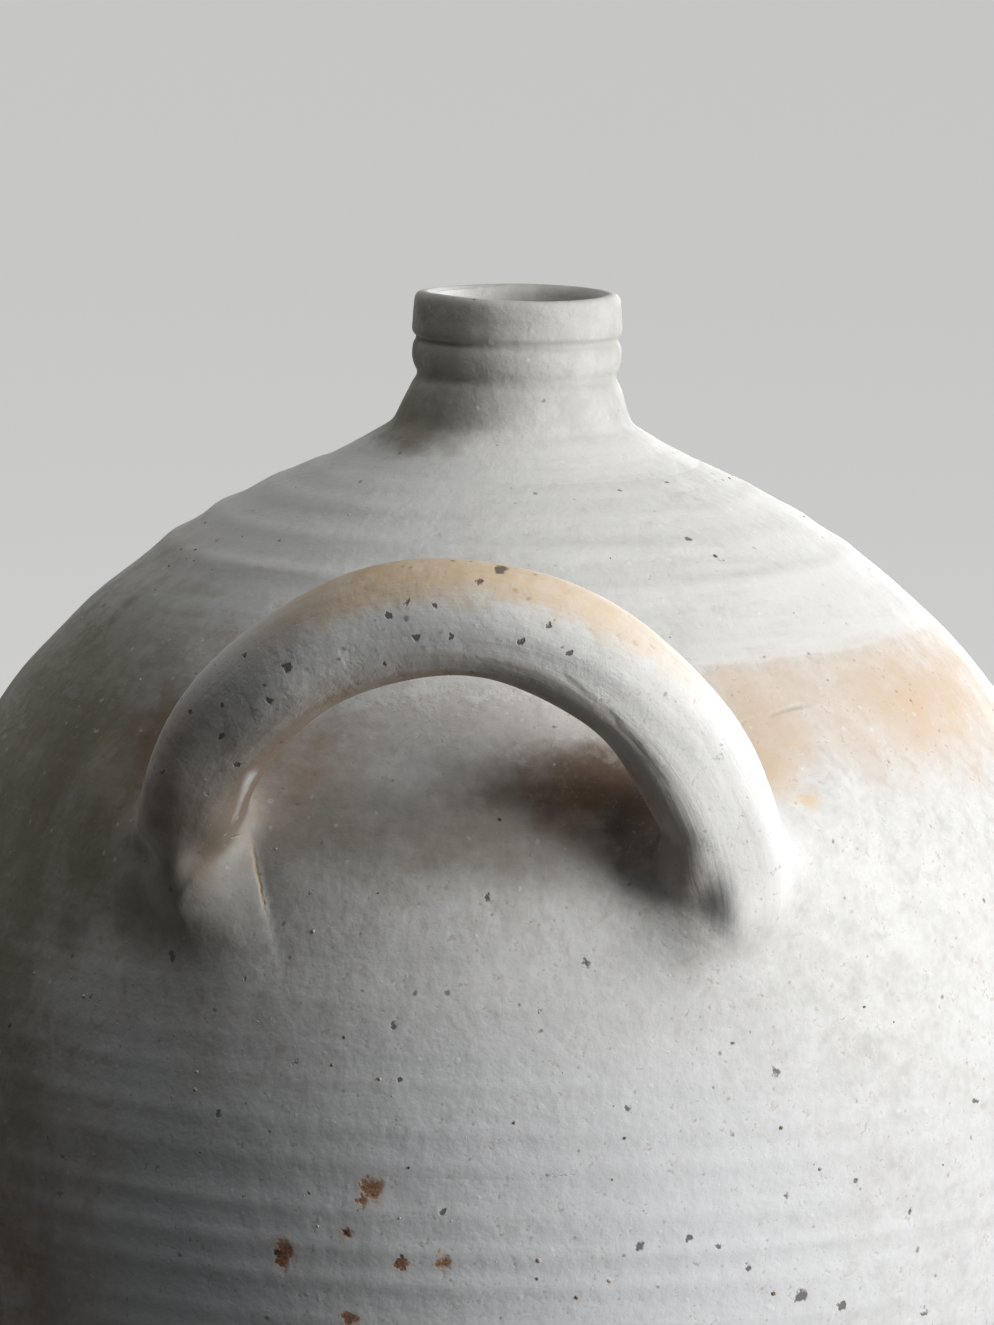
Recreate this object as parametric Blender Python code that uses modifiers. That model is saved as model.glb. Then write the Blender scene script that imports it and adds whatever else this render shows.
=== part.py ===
"""Stoneware demijohn: a round-shouldered storage jar with a short banded neck and two arched lug handles.

The potter makes it in pieces and lutes them together before firing, and each piece is its own object here:
a floor disc, a thrown lower body, a thrown shoulder, a thrown neck, two handle coils and their four roots.
The wall sections key into each other at their rims, and the roots lie on the shoulder's curve.
Units are metres, +Z is up, and the origin is the middle of the flat underside. The front handle faces -Y.
"""

import math

import bmesh
import bpy
from mathutils import Matrix, Vector

# Clearances and cutters
SEAM_GAP = 0.0003
CUT_OVERRUN = 0.02
WELD_DISTANCE = 0.00001

# Wall outline
FOOT_RADIUS = 0.106
BELLY_RADIUS = 0.189
BELLY_HEIGHT = 0.236
SHOULDER_RISE = 0.1895
NECK_FOOT_RADIUS = 0.04
FOOT_FLARE_REACH = 0.082
LOWER_BELLY_REACH = 0.118
UPPER_BELLY_REACH = 0.0695
NECK_APPROACH_REACH = 0.12
FOOT_FLARE_ANGLE = math.radians(58.0)
NECK_APPROACH_ANGLE = math.radians(19.8)

# Wall thicknesses
LOWER_WALL = 0.0125
SHOULDER_WALL = 0.0105

# Floor disc
FLOOR_THICKNESS = 0.013
FLOOR_RAISE = 0.003
FOOT_BEVEL = 0.0025

# Joint between the lower body and the shoulder
KEY_DEPTH = 0.003

# Throwing ridges, as rounds of the potter's fingers up the wall
RIDGE_PITCH = 0.0098
RIDGE_HEIGHT = 0.0009
RIDGE_STEPS = 4
BELLY_RIDGES = 4
SHOULDER_RIDGES = 4
BELLY_RIDGE_START = 0.012
SHOULDER_RIDGE_START = 0.026

# Neck and its banded collar, with depths measured down from the lip
NECK_HEIGHT = 0.0445
LIP_RADIUS = 0.0305
LIP_ROUND = 0.0024
COLLAR_RADIUS = 0.0322
UPPER_BAND_DEPTH = 0.0088
UPPER_GROOVE_DEPTH = 0.0153
LOWER_BAND_DEPTH = 0.0214
LOWER_GROOVE_DEPTH = 0.0278
GROOVE_CUT = 0.0012
GROOVE_HALF_WIDTH = 0.0016
BAND_SHOULDER = 0.0034
CONE_SWELL = 0.0005
MOUTH_RADIUS = 0.0248
THROAT_RADIUS = 0.0192
THROAT_DEPTH = 0.019
THROAT_LENGTH = 0.014
NECK_WALL = 0.0095

# Handles, each an arch of coil that leans out from the shoulder
ARCH_BASE_RISE = 0.078
ARCH_HALF_SPAN = 0.0785
ARCH_RISE = 0.0855
ARCH_LEAN = math.radians(70.0)
ARCH_END = math.radians(20.0)
COIL_HALF_WIDTH_TOP = 0.0171
COIL_HALF_WIDTH_LEG = 0.0143
COIL_HALF_DEPTH = 0.0138
FINGER_GROOVE_DEPTH = 0.0011
FINGER_GROOVE_ANGLE = math.radians(284.0)
FINGER_GROOVE_SPREAD = math.radians(17.0)

# Roots, the clay smeared from each end of a coil out on to the shoulder
ROOT_HALF_LENGTH = 0.034
ROOT_HALF_WIDTH = 0.024
ROOT_TILT = math.radians(45.0)
ROOT_RISE = 0.008
ROOT_OFFSET = 0.006
ROOT_EDGE = 0.0013
ROOT_SINK = 0.005
ROOT_SHANK_SHARE = 0.5
ROOT_SKIRT_SHARE = 0.25
ROOT_RINGS = 7

# Fineness
TURN_STEPS = 48
SECTION_POINTS = 22
ARCH_RINGS = 27
CURVE_POINTS = 9
CROWN_POINTS = 4
CONE_POINTS = 5
TRAVEL_STEPS = 400
SMALL_SHARE = 0.001
SMALL_ANGLE = 0.001

# Colours from the photograph
PALE_GREY = (0.60, 0.59, 0.56)
WARM_GREY = (0.56, 0.53, 0.49)
BARE_CLAY = (0.47, 0.40, 0.32)
FLASHED_CLAY = (0.58, 0.50, 0.41)
MATERIALS = {
    "glazed_wall": (PALE_GREY, 0.55),
    "glazed_lower_wall": (WARM_GREY, 0.58),
    "bare_foot": (BARE_CLAY, 0.85),
    "glazed_neck": (PALE_GREY, 0.60),
    "glazed_handle": (FLASHED_CLAY, 0.50),
    "root_clay": (WARM_GREY, 0.60),
}


def clear_scene():
    for item in list(bpy.data.objects):
        bpy.data.objects.remove(item)


def make_collection(name, helper=False):
    group = bpy.data.collections.new(name)
    group.hide_render = helper
    bpy.context.scene.collection.children.link(group)
    return group


def make_material(name):
    colour, roughness = MATERIALS[name]
    material = bpy.data.materials.new(name)
    material.use_nodes = True
    shader = material.node_tree.nodes["Principled BSDF"]
    shader.inputs["Base Color"].default_value = (*colour, 1.0)
    shader.inputs["Roughness"].default_value = roughness
    shader.inputs["Metallic"].default_value = 0.0
    return material


def add_object(name, mesh, group, material_name=None):
    item = bpy.data.objects.new(name, mesh)
    group.objects.link(item)
    if material_name:
        mesh.materials.append(make_material(material_name))
    return item


def bezier(start, start_handle, end_handle, end, share):
    """A point on a cubic curve. It works for outline points and for points in space."""
    rest = 1.0 - share
    return (
        start * rest**3
        + start_handle * 3.0 * rest**2 * share
        + end_handle * 3.0 * rest * share**2
        + end * share**3
    )


# Outline of the wall, as points (radius, height)


def lower_curve(share):
    """The outer wall from the foot, at share 0, to the belly, at share 1."""
    foot = Vector((FOOT_RADIUS, 0.0))
    flare = Vector((math.cos(FOOT_FLARE_ANGLE), math.sin(FOOT_FLARE_ANGLE))) * FOOT_FLARE_REACH
    belly = Vector((BELLY_RADIUS, BELLY_HEIGHT))
    return bezier(foot, foot + flare, belly - Vector((0.0, LOWER_BELLY_REACH)), belly, share)


def upper_curve(share):
    """The outer wall from the belly, at share 0, to the crease under the neck, at share 1."""
    belly = Vector((BELLY_RADIUS, BELLY_HEIGHT))
    crease = Vector((NECK_FOOT_RADIUS, BELLY_HEIGHT + SHOULDER_RISE))
    approach = Vector((math.cos(NECK_APPROACH_ANGLE), -math.sin(NECK_APPROACH_ANGLE))) * NECK_APPROACH_REACH
    return bezier(belly, belly + Vector((0.0, UPPER_BELLY_REACH)), crease + approach, crease, share)


def outward_normal(curve, share):
    """Unit normal of a wall curve that runs upwards, pointing away from the jar's axis."""
    along = curve(min(share + SMALL_SHARE, 1.0)) - curve(max(share - SMALL_SHARE, 0.0))
    return Vector((along.y, -along.x)).normalized()


def share_at_height(curve, height):
    """The share at which a rising curve reaches a height, by halving."""
    low, high = 0.0, 1.0
    for _ in range(50):
        middle = (low + high) / 2.0
        low, high = (middle, high) if curve(middle).y < height else (low, middle)
    return (low + high) / 2.0


def share_after(curve, from_share, distance, direction):
    """The share a given distance along a curve from another share; direction is 1 up or -1 down."""
    step = direction / TRAVEL_STEPS
    travelled, share = 0.0, from_share
    while travelled < distance and 0.0 <= share + step <= 1.0:
        travelled += (curve(share + step) - curve(share)).length
        share += step
    return share


def offset_point(curve, share, distance):
    """A point off the wall curve by a distance along its normal; negative is into the wall."""
    return curve(share) + outward_normal(curve, share) * distance


def even_shares(first, last, count):
    return [first + (last - first) * index / (count - 1) for index in range(count)]


def ridged_run(curve, start_distance, from_share, direction, ridges):
    """Points over a band of throwing ridges, with the shares where the band begins and ends."""
    points = []
    shares = [
        share_after(curve, from_share, start_distance + RIDGE_PITCH * step / RIDGE_STEPS, direction)
        for step in range(ridges * RIDGE_STEPS + 1)
    ]
    for step, share in enumerate(shares):
        swell = -math.cos(math.tau * step / RIDGE_STEPS) / 2.0
        points.append(offset_point(curve, share, RIDGE_HEIGHT * swell))
    return points, shares[0], shares[-1]


def lower_outer_points():
    """Outer wall of the lower body, from the belly joint down to the floor disc."""
    foot_share = share_at_height(lower_curve, FLOOR_THICKNESS + SEAM_GAP)
    ridges, _, last = ridged_run(lower_curve, BELLY_RIDGE_START, 1.0, -1, BELLY_RIDGES)
    below = [lower_curve(share) for share in even_shares(last, foot_share, CURVE_POINTS)[1:]]
    return [lower_curve(1.0), *ridges, *below], foot_share


def shoulder_outer_points():
    """Outer wall of the shoulder, from the crease under the neck down to the belly joint."""
    ridges, first, last = ridged_run(upper_curve, SHOULDER_RIDGE_START, 1.0, -1, SHOULDER_RIDGES)
    above = [upper_curve(share) for share in even_shares(1.0, first, CROWN_POINTS)[:-1]]
    below = [upper_curve(share) for share in even_shares(last, 0.0, CURVE_POINTS)[1:]]
    return [*above, *ridges, *below]


# Turned pieces


def turned_object(name, outline, closed, group, material_name=None):
    """Spins an outline of (radius, height) points. It lists the outer side from top to bottom."""
    mesh = bpy.data.meshes.new(name)
    count = len(outline)
    edges = [(index, index + 1) for index in range(count - 1)]
    if closed:
        edges.append((count - 1, 0))
    mesh.from_pydata([(radius, 0.0, height) for radius, height in outline], edges, [])
    item = add_object(name, mesh, group, material_name)
    screw = item.modifiers.new("turn", "SCREW")
    screw.axis = "Z"
    screw.steps = TURN_STEPS
    screw.render_steps = TURN_STEPS
    screw.use_merge_vertices = True
    screw.merge_threshold = WELD_DISTANCE
    screw.use_smooth_shade = True
    return item


def make_floor_disc(group):
    """The slab that the walls stand on, with a raised middle that centres the lower body."""
    rim_share = share_at_height(lower_curve, FLOOR_THICKNESS)
    wall_share = share_at_height(lower_curve, FLOOR_THICKNESS + SEAM_GAP)
    wall_inside = offset_point(lower_curve, wall_share, -LOWER_WALL).x
    outline = [
        (0.0, FLOOR_THICKNESS + FLOOR_RAISE),
        (wall_inside - SEAM_GAP - FLOOR_RAISE, FLOOR_THICKNESS + FLOOR_RAISE),
        (wall_inside - SEAM_GAP, FLOOR_THICKNESS),
        lower_curve(rim_share),
        lower_curve(share_at_height(lower_curve, FOOT_BEVEL)),
        (FOOT_RADIUS - FOOT_BEVEL, 0.0),
        (0.0, 0.0),
    ]
    return turned_object("floor_disc", outline, False, group, "bare_foot")


def make_lower_body(group):
    """Thrown section from the floor to the belly, with a V channel round its rim for the shoulder."""
    outer, foot_share = lower_outer_points()
    shares = even_shares(foot_share, 1.0, CURVE_POINTS)
    inner = [offset_point(lower_curve, share, -LOWER_WALL) for share in shares]
    inner[0].y = FLOOR_THICKNESS + SEAM_GAP
    inner[-1].y = BELLY_HEIGHT
    channel = Vector(((outer[0].x + inner[-1].x) / 2.0, BELLY_HEIGHT - KEY_DEPTH))
    return turned_object("lower_body", [*outer, *inner, channel], True, group, "glazed_lower_wall")


def neck_seat():
    """The cone that the neck sits in: its top on the crease, its foot at the inside of the shoulder wall."""
    return upper_curve(1.0), offset_point(upper_curve, 1.0, -SHOULDER_WALL)


def make_shoulder(group):
    """Thrown section from the belly to the neck, with a pointed rim that keys into the lower body."""
    outer = shoulder_outer_points()
    _, seat_foot = neck_seat()
    shares = even_shares(0.0, 1.0, CURVE_POINTS)
    inner = [offset_point(upper_curve, share, -SHOULDER_WALL) for share in shares]
    rim_height = BELLY_HEIGHT + SEAM_GAP
    outer[-1].y = rim_height
    inner[0] = Vector((BELLY_RADIUS - LOWER_WALL, rim_height))
    inner[-1] = seat_foot
    key = Vector(((outer[-1].x + inner[0].x) / 2.0, rim_height - KEY_DEPTH))
    return turned_object("shoulder", [*outer, key, *inner], True, group, "glazed_wall")


def neck_outer_points(lip_height):
    """Lip, two rounded bands with a groove under each, and the cone that spreads onto the shoulder."""
    groove_radius = COLLAR_RADIUS - GROOVE_CUT
    crease_height = lip_height - NECK_HEIGHT

    def at(radius, depth):
        return Vector((radius, lip_height - depth))

    lip = [
        at((MOUTH_RADIUS + LIP_RADIUS) / 2.0, 0.0),
        at(LIP_RADIUS - LIP_ROUND / 3.0, LIP_ROUND / 3.0),
        at(LIP_RADIUS + (COLLAR_RADIUS - LIP_RADIUS) / 3.0, LIP_ROUND),
    ]
    upper_band = [
        at(COLLAR_RADIUS - GROOVE_CUT / 4.0, (LIP_ROUND + UPPER_BAND_DEPTH) / 2.0),
        at(COLLAR_RADIUS, UPPER_BAND_DEPTH),
        at(COLLAR_RADIUS, UPPER_GROOVE_DEPTH - BAND_SHOULDER),
        at(COLLAR_RADIUS - GROOVE_CUT / 2.0, UPPER_GROOVE_DEPTH - GROOVE_HALF_WIDTH),
    ]
    lower_band = [
        at(groove_radius, UPPER_GROOVE_DEPTH),
        at(COLLAR_RADIUS - GROOVE_CUT / 3.0, UPPER_GROOVE_DEPTH + GROOVE_HALF_WIDTH),
        at(COLLAR_RADIUS, LOWER_BAND_DEPTH),
        at(COLLAR_RADIUS - GROOVE_CUT / 3.0, (LOWER_BAND_DEPTH + LOWER_GROOVE_DEPTH) / 2.0),
        at(groove_radius, LOWER_GROOVE_DEPTH - GROOVE_HALF_WIDTH / 2.0),
        at(groove_radius, LOWER_GROOVE_DEPTH + GROOVE_HALF_WIDTH / 2.0),
    ]
    cone_top = lower_band[-1]
    crease = Vector((NECK_FOOT_RADIUS, crease_height))
    cone = []
    for share in even_shares(0.0, 1.0, CONE_POINTS)[1:-1]:
        swell = CONE_SWELL * math.sin(math.pi * share)
        cone.append(cone_top.lerp(crease, share) + Vector((swell, 0.0)))
    return [*lip, *upper_band, *lower_band, *cone]


def make_neck(group):
    """Thrown neck: banded collar outside, and inside a funnel for the stopper that narrows to the throat."""
    lip_height = BELLY_HEIGHT + SHOULDER_RISE + NECK_HEIGHT
    seat_top, seat_foot = neck_seat()
    seat_along = (seat_top - seat_foot).normalized()
    clear = Vector((-seat_along.y, seat_along.x)) * SEAM_GAP
    plug_top = seat_top + clear
    plug_foot = seat_foot + clear
    outer = [*neck_outer_points(lip_height), plug_top, plug_foot]
    inner = [
        Vector((plug_foot.x - NECK_WALL, plug_foot.y)),
        Vector((THROAT_RADIUS, lip_height - THROAT_DEPTH - THROAT_LENGTH)),
        Vector((THROAT_RADIUS, lip_height - THROAT_DEPTH)),
        Vector((MOUTH_RADIUS - LIP_ROUND / 3.0, lip_height - LIP_ROUND - LIP_ROUND / 3.0)),
        Vector((MOUTH_RADIUS, lip_height - LIP_ROUND / 3.0)),
    ]
    return turned_object("neck", [*outer, *inner], True, group, "glazed_neck")


def make_wall_cutter(group):
    """A solid the shape of the jar's outside plus the seam gap, which trims whatever sits on the shoulder."""
    wall = [point + Vector((SEAM_GAP, SEAM_GAP)) for point in shoulder_outer_points()]
    top = Vector((0.0, wall[0].y))
    bottom_edge = Vector((wall[-1].x, BELLY_HEIGHT - CUT_OVERRUN))
    bottom = Vector((0.0, bottom_edge.y))
    cutter = turned_object("wall_cutter", [top, *wall, bottom_edge, bottom], False, group)
    cutter.hide_render = True
    cutter.display_type = "WIRE"
    return cutter


# Handles


def wall_frame(round_angle, share):
    """A point on the outer wall of the shoulder, with its outward, sideways and uphill directions."""
    ahead = Vector((math.sin(round_angle), -math.cos(round_angle), 0.0))
    sideways = Vector((math.cos(round_angle), math.sin(round_angle), 0.0))
    spot = upper_curve(share)
    normal = outward_normal(upper_curve, share)
    outward = ahead * normal.x + Vector((0.0, 0.0, normal.y))
    uphill = sideways.cross(outward) * -1.0
    return ahead * spot.x + Vector((0.0, 0.0, spot.y)), outward, sideways, uphill


def arch_base():
    """Where the arch would meet the wall on the +X side, as the wall's share and the angle round the jar."""
    share = share_at_height(upper_curve, BELLY_HEIGHT + ARCH_BASE_RISE)
    return share, math.asin(ARCH_HALF_SPAN / upper_curve(share).x)


def arch_point(angle):
    """A point on the leaning half ellipse of the handle: 90 degrees is its top, 0 its foot on the +X side."""
    share, round_angle = arch_base()
    rise = ARCH_RISE * math.sin(angle)
    base = upper_curve(share)
    forward = base.x * math.cos(round_angle) + rise * math.cos(ARCH_LEAN)
    return Vector((ARCH_HALF_SPAN * math.cos(angle), -forward, base.y + rise * math.sin(ARCH_LEAN)))


def arch_heading(angle):
    """Direction of the coil at a point of the arch, towards the +X side and down."""
    return (arch_point(angle - SMALL_ANGLE) - arch_point(angle + SMALL_ANGLE)).normalized()


def coil_section(angle, onward):
    """One oval section of the coil, moved onward along it. It starts inside the arch and goes round the back."""
    heading = arch_heading(angle)
    centre = arch_point(angle) + heading * onward
    back = Vector((0.0, math.sin(ARCH_LEAN), math.cos(ARCH_LEAN)))
    inside = back.cross(heading)
    high = abs(math.sin(angle))
    half_width = COIL_HALF_WIDTH_LEG + (COIL_HALF_WIDTH_TOP - COIL_HALF_WIDTH_LEG) * high
    ring = []
    for index in range(SECTION_POINTS):
        around = math.tau * index / SECTION_POINTS
        spread = (around - FINGER_GROOVE_ANGLE) / FINGER_GROOVE_SPREAD
        dent = FINGER_GROOVE_DEPTH * high * math.exp(-spread * spread)
        across = inside * math.cos(around) * (half_width - dent)
        ring.append(centre + across + back * math.sin(around) * (COIL_HALF_DEPTH - dent))
    return ring


def coil_rings():
    """Sections of a handle's coil, from its seam on the -X side over the top to its seam on the +X side."""
    angles = even_shares(math.pi - ARCH_END, ARCH_END, ARCH_RINGS)
    return [coil_section(angle, 0.0) for angle in angles]


def root_edge_frame(around):
    """Frame on the wall at the edge of a root, which is an oval tilted up and away from the handle's middle."""
    share, round_angle = arch_base()
    off_axis = around - ROOT_TILT
    reach = 1.0 / math.hypot(math.sin(off_axis) / ROOT_HALF_LENGTH, math.cos(off_axis) / ROOT_HALF_WIDTH)
    across = ROOT_OFFSET - reach * math.cos(around)
    up = ROOT_RISE + reach * math.sin(around)
    edge_share = share_after(upper_curve, share, abs(up), 1 if up > 0.0 else -1)
    spot, outward, sideways, uphill = wall_frame(round_angle + across / upper_curve(share).x, edge_share)
    away = uphill * math.sin(around) - sideways * math.cos(around)
    return spot, outward, away


def root_rings():
    """Sections of the +X root: from the coil's end it swells out like a bell and lies down on the wall."""
    heading = arch_heading(ARCH_END)
    paths = []
    for index, start in enumerate(coil_section(ARCH_END, SEAM_GAP)):
        spot, outward, away = root_edge_frame(math.tau * index / SECTION_POINTS)
        edge = spot + outward * ROOT_EDGE
        span = (edge - start).length
        shank = start + heading * span * ROOT_SHANK_SHARE
        skirt = edge - away * span * ROOT_SKIRT_SHARE
        path = [bezier(start, shank, skirt, edge, share) for share in even_shares(0.0, 1.0, ROOT_RINGS)]
        paths.append([*path, spot - outward * ROOT_SINK])
    return [list(ring) for ring in zip(*paths)]


def mirrored(rings):
    return [[Vector((-point.x, point.y, point.z)) for point in ring] for ring in rings]


def loft_mesh(name, rings):
    """Skin over a row of rings, capped at both ends. The section changes all along, so no sweep would fit."""
    build = bmesh.new()
    rows = [[build.verts.new(point) for point in ring] for ring in rings]
    count = len(rings[0])
    for near, far in zip(rows, rows[1:]):
        for index in range(count):
            after = (index + 1) % count
            build.faces.new((near[index], near[after], far[after], far[index]))
    build.faces.new(rows[0])
    build.faces.new(rows[-1])
    bmesh.ops.recalc_face_normals(build, faces=build.faces)
    mesh = bpy.data.meshes.new(name)
    build.to_mesh(mesh)
    build.free()
    mesh.shade_smooth()
    return mesh


def trim_to_wall(item, cutter):
    trim = item.modifiers.new("trim_to_wall", "BOOLEAN")
    trim.operation = "DIFFERENCE"
    trim.solver = "EXACT"
    trim.object = cutter


def make_handle(place, turn, group, cutter):
    """One handle with its two roots, turned round the jar's axis to its place."""
    pieces = [
        (f"{place}_handle", coil_rings(), "glazed_handle"),
        (f"{place}_left_root", mirrored(root_rings()), "root_clay"),
        (f"{place}_right_root", root_rings(), "root_clay"),
    ]
    for name, rings, material_name in pieces:
        item = add_object(name, loft_mesh(name, rings), group, material_name)
        item.matrix_world = Matrix.Rotation(turn, 4, "Z")
        trim_to_wall(item, cutter)


def main():
    clear_scene()
    jar = make_collection("demijohn")
    helpers = make_collection("cutters", helper=True)
    make_floor_disc(jar)
    make_lower_body(jar)
    make_shoulder(jar)
    make_neck(jar)
    cutter = make_wall_cutter(helpers)
    make_handle("front", 0.0, jar, cutter)
    make_handle("rear", math.pi, jar, cutter)


main()
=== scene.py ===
"""Looks of the stoneware demijohn: thrown walls, banded neck and pulled handles, with their glaze and slip.

Units are metres and +Z is up. The jar stands on the floor with its axis on the origin, and its front handle
faces -Y.
"""

import math

import bpy
import numpy as np
from mathutils import Matrix, Vector

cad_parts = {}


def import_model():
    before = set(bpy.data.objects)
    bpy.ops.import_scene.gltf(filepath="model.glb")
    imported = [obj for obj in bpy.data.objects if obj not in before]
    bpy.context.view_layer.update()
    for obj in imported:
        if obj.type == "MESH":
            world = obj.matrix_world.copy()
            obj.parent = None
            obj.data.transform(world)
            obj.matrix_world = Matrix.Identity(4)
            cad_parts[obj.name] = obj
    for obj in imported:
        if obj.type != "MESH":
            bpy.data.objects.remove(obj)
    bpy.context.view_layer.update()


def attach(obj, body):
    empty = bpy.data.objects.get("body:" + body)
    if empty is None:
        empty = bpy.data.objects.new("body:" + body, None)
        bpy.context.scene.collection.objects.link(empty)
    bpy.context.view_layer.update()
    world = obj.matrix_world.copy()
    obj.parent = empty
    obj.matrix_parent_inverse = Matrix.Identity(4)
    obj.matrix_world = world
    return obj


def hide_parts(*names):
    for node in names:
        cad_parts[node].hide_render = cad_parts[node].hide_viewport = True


TAU = math.tau
MM = 0.001

# The potter's profile: the foot, the belly and the crease under the neck. A heading gives the slope of the
# wall in degrees where a curve starts, and how far the curve holds to it
FOOT_RADIUS = 0.106
BELLY_RADIUS = 0.189
BELLY_HEIGHT = 0.236
CREASE_RADIUS = 0.04
CREASE_HEIGHT = 0.4255
CREASE_HEADING = (-19.8, 0.12)
FOOT_HEADING = (58.0, 0.082)
BELLY_REACH_UP = 0.0695
BELLY_REACH_DOWN = 0.118
PROFILE_POINTS = 900
LOWER_WALL = 0.0125
SHOULDER_WALL = 0.0105
FLOOR_TOP = 0.016

# Ridges between the potter's fingers, in millimetres: height, how far each stands out, and its breadth
RIDGES = (
    (416.6, 0.75, 2.3), (410.8, 1.3, 2.7), (402.4, 1.6, 2.5), (393.3, 1.7, 2.3), (301, 0.16, 3),
    (285, 0.3, 3.4), (272, 0.25, 2.6), (262, 0.32, 2.4), (249.5, 0.4, 2.2), (239, 0.55, 2.1), (225, 0.8, 2),
    (214.5, 1, 1.9), (204.5, 0.9, 2),
)
# Lower down they follow each other at a pitch, and drift a little in height and in how far they stand out
LOWEST_RIDGE = 36.0
RIDGE_PITCH = 10.8
RIDGE_DRIFT = 1.3
RIDGE_STAND = 0.7
RIDGE_STAND_DRIFT = 0.2
RIDGE_BREADTH = 2.1
RIDGE_HOLLOW = 0.0011
RIDGES_FADE = (0.437, 0.424)
THIN_RIDGE = 0.000022
THIN_RIDGE_PITCHES = (0.0071, 0.0043)
WALL_WOBBLE = 0.00022

# Handle, an arch of pulled clay that leans out from the shoulder. Its coil is wider than deep, twisted, and
# squarer at its legs than at its top
ARCH_HALF_SPAN = 0.0785
ARCH_RISE = 0.0855
ARCH_LEAN = math.radians(70.0)
ARCH_FOOT = np.array([0.0, -0.1537, 0.314])
COIL_HALF_WIDTH_TOP = 0.0171
COIL_HALF_WIDTH_LEG = 0.0143
COIL_HALF_DEPTH = 0.0129
COIL_SQUARE = 2.5
COIL_SQUARE_TOP = 2.0
COIL_TWIST_TOP = math.radians(25.0)
COIL_TWIST_RIGHT = math.radians(42.0)
COIL_TWIST_LEFT = math.radians(13.0)
COIL_SWELL = 0.0035
COIL_SWELL_FADE = 0.009
COIL_FLARE_LEG = 0.0035
COIL_FLARE_FOOT = 0.009
COIL_FLARE_LEG_AT = (0.45, 0.35)
COIL_FLARE_FOOT_FROM = (0.026, 0.004)
COIL_GROOVE = 0.0006
COIL_GROOVE_AT = (-1.15, 0.22)
COIL_GROOVE_ALONG = (2.1, 0.9)
COIL_BENDS_IN_RIGHT = 0.021
COIL_BENDS_IN_LEFT = 0.027
COIL_BEND_RADIUS = 0.015

# Roots: where their crest lies across and up, how far they reach, and how far they stand out from the wall
ROOT_CREST_LEFT = 0.0768
ROOT_CREST_RIGHT = 0.08
ROOT_CREST_UP = 0.004
ROOT_IN_LEFT = 0.042
ROOT_IN_RIGHT = 0.023
ROOT_OUT = 0.027
ROOT_UP = 0.0165
ROOT_DOWN_LEFT = 0.0145
ROOT_HEIGHT_LEFT = 0.0092
ROOT_HEIGHT_RIGHT = 0.0112
CUT_EDGE_AT = -0.0545
CUT_EDGE_SLANT = 0.42
CUT_EDGE_LIP = 0.0007
CUT_EDGE_LIP_FROM = (-0.0004, 0.0008)
CUT_EDGE_LIP_TALL = 0.012
PARED_WIDTH = 0.008
PARED_FROM = 0.0128
PARED_WIDENS = 1.2
PARED_WIDTHS = (0.006, 0.026)
FILLET = 0.012
FILLET_IN_FRONT = 0.026
FILLET_SMEARED = 0.022
FILLET_SIDE_FROM = (0.004, -0.01)
SMEARED_OUT_FROM = (0.002, 0.014)
SMEARED_UP_AT = (0.03, 0.016)

# Skirt of thin clay round each handle, where its skin lies flush with the wall
SKIRT_REACH = 0.05
SKIRT_FADE = 0.018
SKIRT_DEPTH = -0.004
SKIRT_LIFT = 0.00016
SKIRT_BELOW = 0.008
WALL_DIP = 0.0003
WALL_DIP_FADE = (0.006, 0.022)
WALL_DIP_RADIUS = 0.15
OUTER_FACE_WITHIN = 0.004
CLAY_STEP = 0.0016
HANDLE_BOX = ((-0.137, -0.204, 0.244), (0.137, -0.088, 0.418))
COIL_CLEAR_OF_WALL = (0.004, 0.016)
CLOSING_STEPS = 3


class Wire:
    """One socket of a node tree. Sums, products and powers of wires add the Math nodes that they need."""

    def __init__(self, bench, socket):
        self.bench, self.socket = bench, socket

    def maths(self, operation, *others):
        terms = dict(enumerate((self, *others)))
        return self.bench.node("ShaderNodeMath", {"operation": operation}, terms)

    def __add__(self, other):
        return self.maths("ADD", other)

    __radd__ = __add__

    def __sub__(self, other):
        return self.maths("SUBTRACT", other)

    def __rsub__(self, other):
        return (self * -1.0).maths("ADD", other)

    def __mul__(self, other):
        return self.maths("MULTIPLY", other)

    __rmul__ = __mul__

    def __truediv__(self, other):
        return self.maths("DIVIDE", other)

    def __mod__(self, other):
        return self.maths("MODULO", other)


class Bench:
    """A node tree with one way to put a node on it."""

    def __init__(self, tree):
        self.tree = tree

    def node(self, kind, settings=None, sockets=None, output=0):
        item = self.tree.nodes.new(kind)
        for name, value in (settings or {}).items():
            setattr(item, name, value)
        for key, value in (sockets or {}).items():
            if isinstance(value, Wire):
                self.tree.links.new(value.socket, item.inputs[key])
            else:
                item.inputs[key].default_value = value
        return Wire(self, item.outputs[output]) if item.outputs else None

    def out(self, wire, name):
        """Another output of the node that a wire comes from."""
        return Wire(self, wire.socket.node.outputs[name])

    def vector(self, operation, *terms, output=0):
        return self.node("ShaderNodeVectorMath", {"operation": operation}, dict(enumerate(terms)), output)

    def scaled(self, vector, amount):
        return self.node("ShaderNodeVectorMath", {"operation": "SCALE"}, {0: vector, "Scale": amount})


def shading_tree(owner):
    """The emptied node tree of a material or a world."""
    owner.use_nodes = True
    owner.node_tree.nodes.clear()
    return owner.node_tree


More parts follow.
